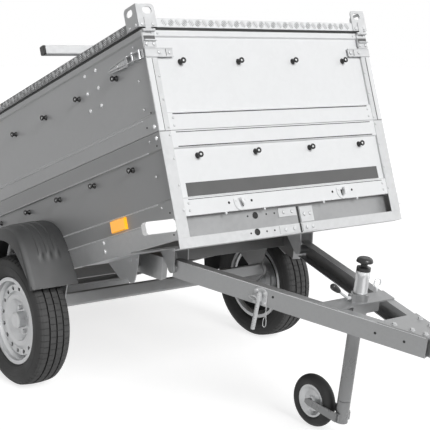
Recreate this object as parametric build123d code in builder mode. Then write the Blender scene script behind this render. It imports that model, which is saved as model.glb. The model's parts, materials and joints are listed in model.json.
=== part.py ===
"""A tipping box trailer with a hinged aluminium lid, tipped back on its tail.

Two frames are used for modelling. The bed frame has X forward from the front wall's outer face, Y to the
left and Z up from the bottom edge of the walls. The drawbar frame starts at the tilt pivot, with X along the
drawbar and Z square to it. Each finished piece is then placed in the part's own frame: +X forward, +Z up,
and the origin on the ground under the middle of the whole outline. All sizes are in millimetres.
"""
from build123d import *
from math import asin, atan2, cos, degrees, hypot, radians, sin
import os

# ---- Bed box
BED_LENGTH = 2058
BED_WIDTH = 1120
LOWER_HEIGHT = 304  # lower walls
UPPER_HEIGHT = 361  # walls of the raised part
SEAM_GAP = 2  # between lower and upper walls
WALL = 22  # thickness of every wall
PRESS = 7  # depth of the pressed field of a wall
BEVEL = 5  # height of the sloping step round the field
WIDE_BAND = 61  # plain band above or below a field
TOP_BAND = 20
FLOOR_THICK = 12
FLOOR_GAP = 0.5  # between the floor board and the walls
FLOOR_REAR_GAP = 5  # between the floor board and the tailgate
GATE_GAP = 3  # between the tailgate and the posts
GATE_TOP_GAP = 1.5  # a tailgate is this much lower than the walls beside it
GATE_PIN_RADIUS = 5
GATE_PIN_LENGTH = 12
FIT = 0.05  # radial gap of a pin or shaft in its bearing

# ---- Corner posts, rails and cross members
POST_FACE = 50
POST_PLATE = 2
POST_TOP_GAP = 4  # the post ends this far under the top of the walls
RAIL_HEIGHT = 73
RAIL_FLANGE = 45
RAIL_SHEET = 3
RAIL_SETBACK = 30  # front and rear rails behind the ends of the bed
BEAM_HEIGHT = 37  # beam under the rails that takes the drawbar
BEAM_DEPTH = 50
MIDDLE_BEAM_X = (-640, -1460)

# ---- Lid
SEAL_HEIGHT = 9
SEAL_WIDTH = 14
SEAL_REST = 0.3  # between the seal and the lid
LID_OVERHANG = 5
LID_SKIRT = 34
LID_PLATE = 3
CORNER_SIZE = 74
CORNER_RISE = 50
CORNER_SHEET = 4
CORNER_ROUND = 16
EYE_RADIUS = 15
BAR_INSET = 500  # from each end of the bed to a roof bar
BAR_LENGTH = 1320
BAR_HEIGHT = 36
BAR_WIDTH = 30
BAR_FOOT = 26  # height of a roof bar's feet
BAR_FOOT_LENGTH = 60
BAR_FOOT_INSET = 70  # foot centre from the bed's side
BAR_CAP = 10
HINGE_RADIUS = 6
HINGE_PIN_RADIUS = 3
HINGE_WIDTH = 52
HINGE_KNUCKLE = 24
HINGE_SHEET = 3
HINGE_DROP = 12  # hinge axis below the lid's lower edge
HINGE_LEAF = 60  # how far the lower leaf reaches down the post
HINGE_RUN = 0.4  # between neighbouring knuckles
PLATE_RUN = 1  # between the knuckles and the post

# ---- Studs, latches, lamps
STUD_RADIUS = 11
STUD_NECK = 5
STUD_LENGTH = 24
STUD_HEAD = 8
STUD_END = 206  # from the end of the bed to the first stud
STUD_COUNT = 7
STUD_ROWS = {"lower": 211, "upper": 553}
STUD_ACROSS = (-407, -137, 137, 407)
LATCH_Z = 585
LATCH_LENGTH = 230
LATCH_HEIGHT = 34
LATCH_DEPTH = 20
STRAP_LENGTH = 92
STRAP_SHEET = 3
LUG_Y = 258
LUG_Z = 30
LUG_LENGTH = 62
REFLECTOR_X = -343
REFLECTOR_SIZE = (100, 12, 44)
REFLECTOR_Z = 33
SIDE_LAMP_REACH = 125
SIDE_LAMP_HEIGHT = 44
SIDE_LAMP_DEPTH = 26
TAIL_SHEET = 3
TAIL_DEPTH = 45
TAIL_LAMP_SIZE = (24, 200, 62)
TAIL_LAMP_INSET = 118  # lamp centre from the bed's side

# ---- Axle and wheels
AXLE_X = -BED_LENGTH / 2
AXLE_Z = -233
TYRE_RADIUS = 270
TYRE_WIDTH = 150
TRACK = 1320
RIM_RADIUS = 181
RIM_SHEET = 5
RIM_INSET = 24  # rim flange inside the tyre's widest line
RIM_CLEAR = 2  # the tyre's wall starts this far outside the flange
BEAD_SEAT = 10  # depth of the bead seats under the flange
RIM_WELL = 30  # depth of the middle of the rim under the flange
RIM_HOLES = 16
RIM_HOLE_RADIUS = 9
WHEEL_BOLTS = 4
WHEEL_BOLT_CIRCLE = 50
HUB_RADIUS = 34
HUB_FLANGE = 66
HUB_FLANGE_THICK = 12
HUB_CAP = 10  # closed end of the hub's bore
HUB_BEVEL = 6
DISC_FRONT = 44  # front of the wheel disc's middle behind the bead line
DISC_BACK = 50
NUT_RADIUS = 10
NUT_HEIGHT = 12
SPINDLE_RADIUS = 15
SPINDLE_END = 2  # between the spindle's end and the end of its bore
AXLE_SIDE = 56
AXLE_FORWARD = 118  # axle tube ahead of the wheel centre
AXLE_RISE = 46  # axle tube above the wheel centre
SWING_THICK = 16
SWING_Y = 562  # outer face of a swing arm

# ---- Mudguards
GUARD_HALF = 380
GUARD_RISE = 400
GUARD_CORNER = 255
GUARD_LEG = 88  # the legs end this far above the wheel centre
GUARD_WIDTH = 200
GUARD_SHEET = 4
GUARD_LIP = 38
GUARD_RIB = 3
GUARD_RIB_WIDTH = 14
GUARD_RIB_OFFSETS = (46, 82, 118)

# ---- Drawbar
FOLD_ANGLE = 26  # drawbar below the line of the bed
PIVOT_X = -350
PIVOT_Z = -152
PIVOT_RADIUS = 8
EYE_TUBE_RADIUS = 18
EYE_INNER_Y = 297
EYE_OUTER_Y = 356
CHEEK_SHEET = 6
CHEEK_RUN = 1  # between a cheek and the pivot eye
CHEEK_HALF = 44
PIVOT_PLATE = 6
ARM_HEIGHT = 70
ARM_FLANGE = 38
ARM_SHEET = 4
ARM_ROOT_Y = 351  # outer face at the pivot
ARM_NOSE_Y = 44  # outer face at the nose
ARM_NOSE_X = 971
LATCH_ARM_X = 372  # tilt latch along the drawbar
LATCH_PLATE = (54, 5, 62)
LATCH_PIN_RADIUS = 7
LATCH_PIN_LENGTH = 130
LATCH_SLEEVE = 26
LATCH_SLEEVE_WALL = 4

# ---- Coupling
COUPLING_REACH = 333  # from the arms' nose to the coupling's front
HEAD_RADIUS = 42
HEAD_DROP = 14  # the head's rim below the neck
HEAD_ROUND = 8
NECK_SHEET = 6
HANDLE_WIDTH = 26
BALL_RADIUS = 25.4
NOSE_PLATE_LENGTH = 170
NECK_WIDTH = 56
NECK_OVERLAP = 110  # length of the neck between the arms
SOCKET_DROP = 6  # ball centre below the drawbar's middle line

# ---- Jockey wheel
JOCKEY_X = 624
JOCKEY_TRAIL = 144
JOCKEY_HUB_Z = -410
JOCKEY_RADIUS = 100
JOCKEY_WIDTH = 50
JOCKEY_RIM = 62
JOCKEY_AXLE_RADIUS = 8
TUBE_RADIUS = 24
TUBE_WALL = 3
TUBE_TOP = 150
TUBE_END = -345
KNOB_RADIUS = 29
KNOB_COLLAR = 25
KNOB_NECK = 12
KNOB_HEIGHT = 48
STEM_RADIUS = 20
STEM_REACH = 110  # how far the fork's stem goes up into the tube
STEM_RUN = 2  # between the fork's collar and the tube's end
STEM_END = -432
CLAMP_WALL = 8
CLAMP_BOSS = 22
CLAMP_REACH = 16  # the boss beyond the ring
LEVER_STUB = 12
LEVER_STUB_RADIUS = 7
LEVER_RADIUS = 4.5
LEVER_ROD = 62
LEVER_ANGLE = radians(34)  # the lever's rise above the drawbar's plane
GRIP_RADIUS = 11
GRIP_LENGTH = 38
CLAMP_BASE = -20
CLAMP_TOP = 66
CROSS_PLATE_WIDTH = 76
CROSS_PLATE_SHEET = 5
CROSS_PLATE_LIP = 32
FORK_SHEET = 5
FORK_HEIGHT = 34
FORK_RUN = 6  # between the fork and the wheel

# ---- How the trailer stands: on its wheels, its jockey wheel and its tail
FOLD = radians(FOLD_ANGLE)
hub_back = JOCKEY_X - JOCKEY_TRAIL
jockey_x = PIVOT_X + hub_back * cos(FOLD) + JOCKEY_HUB_Z * sin(FOLD)
jockey_z = PIVOT_Z - hub_back * sin(FOLD) + JOCKEY_HUB_Z * cos(FOLD)
centre_drop = atan2(AXLE_Z - jockey_z, jockey_x - AXLE_X)
centre_span = hypot(jockey_x - AXLE_X, jockey_z - AXLE_Z)
TIP = centre_drop - asin((TYRE_RADIUS - JOCKEY_RADIUS) / centre_span)
TAIL_X = -BED_LENGTH - POST_PLATE
TAIL_Z = AXLE_Z - (TYRE_RADIUS + (TAIL_X - AXLE_X) * sin(TIP)) / cos(TIP)

BED = (
    Location((0, 0, TYRE_RADIUS))
    * Location((0, 0, 0), (0, -degrees(TIP), 0))
    * Location((-AXLE_X, 0, -AXLE_Z))
)
DRAWBAR = BED * Location((PIVOT_X, 0, PIVOT_Z), (0, FOLD_ANGLE, 0))

SIDES = {"left": 1, "right": -1}
HALF = BED_WIDTH / 2
POST_INNER = HALF - POST_FACE
UPPER_BASE = LOWER_HEIGHT + SEAM_GAP
WALL_TOP = UPPER_BASE + UPPER_HEIGHT
LID_BASE = WALL_TOP + SEAL_HEIGHT + SEAL_REST
LID_TOP = LID_BASE + LID_SKIRT
pieces = {}


def keep(piece, name, frame=BED):
    """Places a finished piece in the part's frame under its name."""
    placed = frame * piece
    placed.label = name
    pieces[name] = placed


def both_sides(piece):
    """A piece of the left side with its mirror image on the right."""
    return Compound([piece, mirror(piece, Plane.XZ)])


def four_corners(piece):
    """A piece of the front left corner with its images at the other corners."""
    turn = Location((2 * AXLE_X, 0, 0), (0, 0, 180))
    ahead = mirror(piece, Plane.XZ)
    behind = mirror(piece, Plane.YZ.offset(AXLE_X))
    return Compound([piece, ahead, behind, turn * piece])


# =====================================================================================================
# Walls: pressed sheet panels, the outer face stepped in between two plain bands
# =====================================================================================================
def wall(length, height, low_band, high_band):
    """A panel from X = 0 to -length, with its outer face on the plane Y = 0 and its body at Y > 0."""
    with BuildPart() as panel:
        with BuildSketch(Plane.YZ):
            with BuildLine():
                Polyline(
                    (0, 0),
                    (0, low_band),
                    (PRESS, low_band + BEVEL),
                    (PRESS, height - high_band - BEVEL),
                    (0, height - high_band),
                    (0, height),
                    (WALL, height),
                    (WALL, 0),
                    close=True,
                )
            make_face()
        extrude(amount=-length)
    return panel.part


def gate(height, low_band, high_band):
    """A tailgate panel like a wall, its lower edge round about the hinge pins at its two ends."""
    width = 2 * (POST_INNER - GATE_GAP)
    with BuildPart() as leaf:
        add(wall(width, height - GATE_TOP_GAP, low_band, high_band - GATE_TOP_GAP))
        low_edges = leaf.edges().filter_by(Axis.X).group_by(Axis.Z)[0]
        fillet(low_edges, WALL / 2 - FLOOR_GAP)
        with BuildSketch(Plane.YZ):
            with Locations((WALL / 2, WALL / 2)):
                Circle(GATE_PIN_RADIUS)
        extrude(amount=GATE_PIN_LENGTH)
        with BuildSketch(Plane.YZ.offset(-width)):
            with Locations((WALL / 2, WALL / 2)):
                Circle(GATE_PIN_RADIUS)
        extrude(amount=-GATE_PIN_LENGTH)
    return Location((-BED_LENGTH, -width / 2, 0), (0, 0, -90)) * leaf.part


WALL_ROWS = {  # name: bottom edge, height, band below the field, band above it
    "lower": (0, LOWER_HEIGHT, WIDE_BAND, WIDE_BAND),
    "upper": (UPPER_BASE, UPPER_HEIGHT, WIDE_BAND, TOP_BAND),
}
for row, (base, height, low_band, high_band) in WALL_ROWS.items():
    side_wall = wall(BED_LENGTH, height, low_band, high_band)
    keep(Location((0, -HALF, base)) * side_wall, f"right_{row}_side")
    keep(Location((-BED_LENGTH, HALF, base), (0, 0, 180)) * side_wall, f"left_{row}_side")
    end_wall = wall(2 * POST_INNER, height, low_band, high_band)
    keep(Location((0, POST_INNER, base), (0, 0, 90)) * end_wall, f"front_{row}_wall")
    keep(Location((0, 0, base)) * gate(height, low_band, high_band), f"{row}_tailgate")

with BuildPart() as floor_board:
    floor_front = -WALL - FLOOR_GAP
    floor_rear = WALL + FLOOR_REAR_GAP - BED_LENGTH
    with BuildSketch(Plane.XY):
        with Locations((floor_front, 0)):
            Rectangle(
                floor_front - floor_rear,
                BED_WIDTH - 2 * (WALL + FLOOR_GAP),
                align=(Align.MAX, Align.CENTER),
            )
    extrude(amount=FLOOR_THICK)
keep(floor_board.part, "floor_board")


# =====================================================================================================
# Corner posts: a face plate over the wall ends and a leg between the walls, bored for the tailgate pins
# =====================================================================================================
def post(bored):
    """The front left post, or with the bores the same post for the rear."""
    with BuildPart() as column:
        with BuildSketch(Plane.XY.offset(-RAIL_HEIGHT)):
            with Locations((0, POST_INNER)):
                Rectangle(POST_PLATE, POST_FACE, align=(Align.MIN, Align.MIN))
        extrude(amount=WALL_TOP - POST_TOP_GAP + RAIL_HEIGHT)
        with BuildSketch(Plane.XY):
            with Locations((-WALL, POST_INNER)):
                Rectangle(WALL, POST_FACE - WALL, align=(Align.MIN, Align.MIN))
        extrude(amount=WALL_TOP - POST_TOP_GAP)
        vertical = column.edges().filter_by(Axis.Z)
        chamfer(vertical.group_by(Axis.X)[-1], POST_PLATE / 2)
        if bored:
            for base, *_ in WALL_ROWS.values():
                with BuildSketch(Plane.XZ.offset(-POST_INNER)):
                    with Locations((-WALL / 2, base + WALL / 2)):
                        Circle(GATE_PIN_RADIUS + FIT)
                extrude(amount=-(GATE_PIN_LENGTH + 1), mode=Mode.SUBTRACT)
    return column.part


keep(post(False), "front_left_post")
keep(mirror(post(False), Plane.XZ), "front_right_post")
keep(mirror(post(True), Plane.YZ.offset(AXLE_X)), "rear_left_post")
keep(Location((2 * AXLE_X, 0, 0), (0, 0, 180)) * post(True), "rear_right_post")


# =====================================================================================================
# Frame under the bed: channel rails, the beams across them and the plates that hold the drawbar pivots
# =====================================================================================================
def channel(length, height, flange, sheet):
    """A channel from X = 0 to length, its web on the plane Y = 0, open towards +Y, top face at Z = 0."""
    with BuildPart() as bar:
        with BuildSketch(Plane.YZ):
            Rectangle(flange, height, align=(Align.MIN, Align.MAX))
            with Locations((sheet, -sheet)):
                Rectangle(flange, height - 2 * sheet, align=(Align.MIN, Align.MAX), mode=Mode.SUBTRACT)
        extrude(amount=length)
    return bar.part


rail = channel(BED_LENGTH, RAIL_HEIGHT, RAIL_FLANGE, RAIL_SHEET)
keep(Location((-BED_LENGTH, -HALF, 0)) * rail, "right_rail")
keep(Location((0, HALF, 0), (0, 0, 180)) * rail, "left_rail")
cross_length = BED_WIDTH - 2 * RAIL_FLANGE
cross_rail = channel(cross_length, RAIL_HEIGHT, RAIL_FLANGE, RAIL_SHEET)
keep(Location((-RAIL_SETBACK, -cross_length / 2, 0), (0, 0, 90)) * cross_rail, "front_rail")
rear_rail_x = -BED_LENGTH + RAIL_SETBACK
keep(Location((rear_rail_x, cross_length / 2, 0), (0, 0, -90)) * cross_rail, "rear_rail")

front_beam = channel(BED_WIDTH, BEAM_HEIGHT, BEAM_DEPTH, RAIL_SHEET)
keep(Location((0, -HALF, -RAIL_HEIGHT), (0, 0, 90)) * front_beam, "front_beam")
middle = channel(cross_length, RAIL_HEIGHT, RAIL_FLANGE, RAIL_SHEET)
middle_beams = [Location((x, -cross_length / 2, 0), (0, 0, 90)) * middle for x in MIDDLE_BEAM_X]
keep(Compound(middle_beams), "middle_beams")

cheek_y = (EYE_INNER_Y - CHEEK_RUN - CHEEK_SHEET, EYE_OUTER_Y + CHEEK_RUN)
with BuildPart() as pivot_mount:
    with BuildSketch(Plane.XY.offset(-RAIL_HEIGHT - PIVOT_PLATE)):
        with Locations((PIVOT_X, 0)):
            Rectangle(2 * CHEEK_HALF, BED_WIDTH - 2 * RAIL_SHEET)
    extrude(amount=PIVOT_PLATE)
    for y in cheek_y:
        for sign in SIDES.values():
            low = y if sign > 0 else -y - CHEEK_SHEET
            with BuildSketch(Plane.XZ.offset(-low)):
                with BuildLine():
                    top = -RAIL_HEIGHT - PIVOT_PLATE
                    left = Line((PIVOT_X - CHEEK_HALF, top), (PIVOT_X - EYE_TUBE_RADIUS, PIVOT_Z))
                    foot = RadiusArc(left @ 1, (PIVOT_X + EYE_TUBE_RADIUS, PIVOT_Z), -EYE_TUBE_RADIUS)
                    Line(foot @ 1, (PIVOT_X + CHEEK_HALF, top))
                    Line((PIVOT_X + CHEEK_HALF, top), (PIVOT_X - CHEEK_HALF, top))
                make_face()
            extrude(amount=-CHEEK_SHEET)
    for sign in SIDES.values():
        low = cheek_y[0] if sign > 0 else -cheek_y[1] - CHEEK_SHEET
        with BuildSketch(Plane.XZ.offset(-low)):
            with Locations((PIVOT_X, PIVOT_Z)):
                Circle(PIVOT_RADIUS)
        extrude(amount=-(cheek_y[1] + CHEEK_SHEET - cheek_y[0]))
keep(pivot_mount.part, "pivot_mount")


# =====================================================================================================
# Lid: a flat cap with a skirt, angle brackets with lashing eyes on its corners, two roof bars and hinges
# =====================================================================================================
LID_LENGTH = BED_LENGTH + 2 * LID_OVERHANG
LID_WIDTH = BED_WIDTH + 2 * LID_OVERHANG
LID_FRAME = LID_OVERHANG + SEAL_WIDTH  # the frame round the lid's edge, which sits on the seal
with BuildPart() as seal:
    with BuildSketch(Plane.XY.offset(WALL_TOP)):
        with Locations((AXLE_X, 0)):
            Rectangle(BED_LENGTH, BED_WIDTH)
            Rectangle(BED_LENGTH - 2 * SEAL_WIDTH, BED_WIDTH - 2 * SEAL_WIDTH, mode=Mode.SUBTRACT)
    extrude(amount=SEAL_HEIGHT)
keep(seal.part, "lid_seal")

with BuildPart() as lid:
    with BuildSketch(Plane.XY.offset(LID_BASE)):
        with Locations((AXLE_X, 0)):
            Rectangle(LID_LENGTH, LID_WIDTH)
    extrude(amount=LID_SKIRT)
    fillet(lid.edges().group_by(Axis.Z)[-1], LID_PLATE)
    with BuildSketch(Plane.XY.offset(LID_BASE)):
        with Locations((AXLE_X, 0)):
            Rectangle(LID_LENGTH - 2 * LID_FRAME, LID_WIDTH - 2 * LID_FRAME)
    extrude(amount=LID_SKIRT - LID_PLATE, mode=Mode.SUBTRACT)
keep(lid.part, "lid_panel")


def eye_plate():
    """One leg of a corner bracket: X from 0 to its width, Y up from the lid's lower edge."""
    height = LID_SKIRT + CORNER_RISE
    with BuildSketch() as face:
        Rectangle(CORNER_SIZE, height, align=(Align.MIN, Align.MIN))
        fillet(face.vertices().group_by(Axis.X)[-1].sort_by(Axis.Y)[-1], CORNER_ROUND)
        with Locations((CORNER_SIZE * 0.56, height - EYE_RADIUS * 1.55)):
            SlotOverall(2.6 * EYE_RADIUS, 1.7 * EYE_RADIUS, mode=Mode.SUBTRACT)
    return face.sketch


front_face = LID_OVERHANG
side_face = HALF + LID_OVERHANG
with BuildPart() as corner:
    with BuildSketch(Plane((front_face, side_face, LID_BASE), x_dir=(0, -1, 0), z_dir=(-1, 0, 0))):
        add(eye_plate())
    extrude(amount=-CORNER_SHEET)
    with BuildSketch(Plane((front_face, side_face, LID_BASE), x_dir=(-1, 0, 0), z_dir=(0, 1, 0))):
        add(eye_plate())
    extrude(amount=CORNER_SHEET)
    with BuildSketch(Plane.XY.offset(LID_BASE)):
        with Locations((front_face, side_face)):
            Rectangle(CORNER_SHEET, CORNER_SHEET, align=(Align.MIN, Align.MIN))
    extrude(amount=LID_SKIRT + CORNER_RISE)
keep(four_corners(corner.part), "lid_corners")

foot_y = HALF - BAR_FOOT_INSET
bars = []
caps = []
for bar_x in (-BAR_INSET, BAR_INSET - BED_LENGTH):
    with BuildPart() as bar:
        with BuildSketch(Plane.XZ.offset(-BAR_LENGTH / 2)):
            with Locations((bar_x, LID_TOP + BAR_FOOT)):
                RectangleRounded(BAR_WIDTH, BAR_HEIGHT, 5, align=(Align.CENTER, Align.MIN))
        extrude(amount=BAR_LENGTH)
        for y in (-foot_y, foot_y):
            with BuildSketch(Plane.XY.offset(LID_TOP)):
                with Locations((bar_x, y)):
                    Rectangle(BAR_WIDTH, BAR_FOOT_LENGTH)
            with BuildSketch(Plane.XY.offset(LID_TOP + BAR_FOOT)):
                with Locations((bar_x, y)):
                    Rectangle(BAR_WIDTH * 0.7, BAR_FOOT_LENGTH * 0.6)
            loft()
    bars.append(bar.part)
    with BuildPart() as cap:
        with BuildSketch(Plane.XZ.offset(-BAR_LENGTH / 2)):
            with Locations((bar_x, LID_TOP + BAR_FOOT)):
                RectangleRounded(BAR_WIDTH, BAR_HEIGHT, 5, align=(Align.CENTER, Align.MIN))
        extrude(amount=-BAR_CAP)
        chamfer(cap.faces().sort_by(Axis.Y)[-1].edges(), 2)
    caps += list(both_sides(cap.part).solids())
keep(Compound(bars), "roof_bars")
keep(Compound(caps), "roof_bar_caps")

# Hinges between the front posts and the lid's front corners
HINGE_X = POST_PLATE + PLATE_RUN + HINGE_RADIUS
HINGE_Z = LID_BASE - HINGE_DROP
HINGE_Y = HALF - HINGE_WIDTH / 2 - 2
knuckle_half = HINGE_KNUCKLE / 2
with BuildPart() as post_leaf:
    with BuildSketch(Plane.YZ.offset(POST_PLATE)):
        with Locations((HINGE_Y, HINGE_Z)):
            Rectangle(HINGE_WIDTH, HINGE_LEAF, align=(Align.CENTER, Align.MAX))
        with Locations((HINGE_Y, HINGE_Z)):
            Rectangle(HINGE_KNUCKLE + 2 * HINGE_RUN, 4 * HINGE_RADIUS, mode=Mode.SUBTRACT)
    extrude(amount=HINGE_SHEET)
    for shift in (-1, 1):
        knuckle_y = HINGE_Y + shift * (knuckle_half + HINGE_RUN)
        with BuildSketch(Plane.XZ.offset(-knuckle_y)):
            with Locations((HINGE_X, HINGE_Z)):
                Circle(HINGE_RADIUS)
        extrude(amount=-shift * (HINGE_WIDTH / 2 - knuckle_half - HINGE_RUN))
    with BuildSketch(Plane.XZ.offset(-HINGE_Y + HINGE_WIDTH / 2)):
        with Locations((HINGE_X, HINGE_Z)):
            Circle(HINGE_PIN_RADIUS)
    extrude(amount=-HINGE_WIDTH)
keep(both_sides(post_leaf.part), "lid_hinge_bases")

leaf_back = LID_OVERHANG + CORNER_SHEET
with BuildPart() as lid_leaf:
    with BuildSketch(Plane.XZ.offset(-HINGE_Y - knuckle_half)):
        with Locations((HINGE_X, HINGE_Z)):
            Circle(HINGE_RADIUS)
        with Locations((leaf_back, HINGE_Z)):
            Rectangle(HINGE_SHEET, LID_SKIRT + HINGE_DROP, align=(Align.MIN, Align.MIN))
        with Locations((HINGE_X, HINGE_Z)):
            Circle(HINGE_PIN_RADIUS + FIT, mode=Mode.SUBTRACT)
    extrude(amount=HINGE_KNUCKLE)
keep(both_sides(lid_leaf.part), "lid_hinge_leaves")


# =====================================================================================================
# Studs for a cover's lacing, latches, straps, lugs, reflectors and front lamps
# =====================================================================================================
with BuildPart() as stud:
    with BuildSketch(Plane.XZ):
        with BuildLine():
            Polyline(
                (0, 0),
                (STUD_RADIUS, 0),
                (STUD_RADIUS, STUD_HEAD / 2),
                (STUD_NECK, STUD_HEAD / 2 + 2),
                (STUD_NECK, STUD_LENGTH - STUD_HEAD),
                (STUD_RADIUS, STUD_LENGTH - STUD_HEAD + 2),
                (STUD_RADIUS, STUD_LENGTH - 2),
                (STUD_NECK, STUD_LENGTH),
                (0, STUD_LENGTH),
                close=True,
            )
        make_face()
    revolve(axis=Axis.Z)

stud_pitch = (BED_LENGTH - 2 * STUD_END) / (STUD_COUNT - 1)
bed_studs = []
for row, stud_z in STUD_ROWS.items():
    for i in range(STUD_COUNT):
        stud_x = -STUD_END - i * stud_pitch
        bed_studs.append(Location((stud_x, HALF - PRESS, stud_z), (-90, 0, 0)) * stud.part)
        bed_studs.append(Location((stud_x, PRESS - HALF, stud_z), (90, 0, 0)) * stud.part)
    for y in STUD_ACROSS:
        bed_studs.append(Location((-PRESS, y, stud_z), (0, 90, 0)) * stud.part)
    rear_studs = [
        Location((PRESS - BED_LENGTH, y, stud_z), (0, -90, 0)) * stud.part for y in STUD_ACROSS
    ]
    keep(Compound(rear_studs), f"{row}_tailgate_studs")
keep(Compound(bed_studs), "bed_studs")

latch_back = HALF - PRESS
with BuildPart() as latch:
    with BuildSketch(Plane.XY.offset(LATCH_Z - LATCH_HEIGHT / 2)):
        with BuildLine():
            Polyline(
                (-6, latch_back),
                (-6, HALF + LATCH_DEPTH),
                (-LATCH_LENGTH * 0.42, HALF + LATCH_DEPTH),
                (-LATCH_LENGTH * 0.5, HALF + LATCH_DEPTH * 0.45),
                (-LATCH_LENGTH, HALF + LATCH_DEPTH * 0.25),
                (-LATCH_LENGTH, latch_back),
                close=True,
            )
        make_face()
    extrude(amount=LATCH_HEIGHT)
    with BuildSketch(Plane.XZ.offset(-HALF - LATCH_DEPTH)):
        with Locations((-LATCH_LENGTH * 0.2, LATCH_Z)):
            Rectangle(LATCH_LENGTH * 0.13, LATCH_HEIGHT * 0.55)
    extrude(amount=LATCH_DEPTH * 0.7, mode=Mode.SUBTRACT)
keep(four_corners(latch.part), "corner_latches")

with BuildPart() as strap:
    with BuildSketch(Plane.YZ.offset(POST_PLATE)):
        with Locations((HALF, LATCH_Z)):
            Rectangle(STRAP_LENGTH, LATCH_HEIGHT, align=(Align.MAX, Align.CENTER))
    extrude(amount=STRAP_SHEET)
keep(both_sides(strap.part), "front_straps")

with BuildPart() as lug:
    with BuildSketch(Plane.YZ):
        with Locations((LUG_Y, LUG_Z)):
            SlotOverall(LUG_LENGTH, LUG_LENGTH * 0.45)
    extrude(amount=4)
    with BuildSketch(Plane.YZ.offset(4)):
        with Locations((LUG_Y, LUG_Z)):
            SlotOverall(LUG_LENGTH * 0.4, LUG_LENGTH * 0.2, rotation=70)
    extrude(amount=12)
keep(both_sides(lug.part), "front_lugs")

with BuildPart() as reflector:
    with Locations((REFLECTOR_X, HALF, REFLECTOR_Z)):
        Box(*REFLECTOR_SIZE, align=(Align.CENTER, Align.MIN, Align.CENTER))
    chamfer(reflector.faces().sort_by(Axis.Y)[-1].edges(), 3)
keep(both_sides(reflector.part), "side_reflectors")

with BuildPart() as side_lamp:
    with Locations((-SIDE_LAMP_DEPTH / 2, HALF, -SIDE_LAMP_HEIGHT / 2 - 4)):
        Box(
            SIDE_LAMP_DEPTH,
            SIDE_LAMP_REACH,
            SIDE_LAMP_HEIGHT,
            align=(Align.CENTER, Align.MIN, Align.CENTER),
        )
    chamfer(side_lamp.edges().filter_by(Axis.X), 7)
keep(both_sides(side_lamp.part), "front_lamps")

# Rear lamp beam under the rails: the tail that the tipped trailer rests on
tail_height = -RAIL_HEIGHT - TAIL_Z
tail = channel(BED_WIDTH, tail_height, TAIL_DEPTH, TAIL_SHEET)
keep(Location((TAIL_X, HALF, -RAIL_HEIGHT), (0, 0, -90)) * tail, "tail_beam")
with BuildPart() as tail_lamp:
    lamp_z = -RAIL_HEIGHT - tail_height * 0.42
    with Locations((TAIL_X, HALF - TAIL_LAMP_INSET, lamp_z)):
        Box(*TAIL_LAMP_SIZE, align=(Align.MAX, Align.CENTER, Align.CENTER))
    chamfer(tail_lamp.faces().sort_by(Axis.X)[0].edges(), 5)
keep(both_sides(tail_lamp.part), "tail_lamps")


# =====================================================================================================
# Axle: a square tube with rubber in it, its hangers, and a swing arm and spindle at each end
# =====================================================================================================
AXLE_TUBE_X = AXLE_X + AXLE_FORWARD
AXLE_TUBE_Z = AXLE_Z + AXLE_RISE
arm_face = SWING_Y - SWING_THICK
hanger_top = -RAIL_HEIGHT
with BuildPart() as axle:
    with BuildSketch(Plane.XZ.offset(-arm_face)):
        with Locations((AXLE_TUBE_X, AXLE_TUBE_Z)):
            RectangleRounded(AXLE_SIDE, AXLE_SIDE, AXLE_SIDE / 7)
    extrude(amount=2 * arm_face)
    for y in (-HALF + RAIL_FLANGE / 2, HALF - RAIL_FLANGE / 2):
        with BuildSketch(Plane.XZ.offset(-y - 3)):
            with BuildLine():
                Polyline(
                    (AXLE_TUBE_X - 2 * AXLE_SIDE, hanger_top),
                    (AXLE_TUBE_X - AXLE_SIDE / 2, AXLE_TUBE_Z),
                    (AXLE_TUBE_X + AXLE_SIDE / 2, AXLE_TUBE_Z),
                    (AXLE_TUBE_X + 2 * AXLE_SIDE, hanger_top),
                    close=True,
                )
            make_face()
        extrude(amount=6)
        with BuildSketch(Plane.XY.offset(hanger_top)):
            with Locations((AXLE_TUBE_X, y)):
                Rectangle(4 * AXLE_SIDE, RAIL_FLANGE)
        extrude(amount=-5)
keep(axle.part, "axle_tube")

WHEEL_Y = TRACK / 2
TYRE_INNER = WHEEL_Y - TYRE_WIDTH / 2
HUB_IN = SWING_Y + 8
HUB_OUT = WHEEL_Y + 46
with BuildPart() as swing:
    with BuildSketch(Plane.XZ.offset(-arm_face)) as swing_outline:
        with Locations((AXLE_TUBE_X, AXLE_TUBE_Z), (AXLE_X, AXLE_Z)):
            Circle(AXLE_SIDE * 0.62)
        make_hull(swing_outline.edges())
    extrude(amount=-SWING_THICK)
    with BuildSketch(Plane.XZ.offset(-SWING_Y)):
        with Locations((AXLE_X, AXLE_Z)):
            Circle(SPINDLE_RADIUS)
    extrude(amount=-(HUB_OUT - HUB_CAP - SPINDLE_END - SWING_Y))
keep(both_sides(swing.part), "swing_arms")


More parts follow.
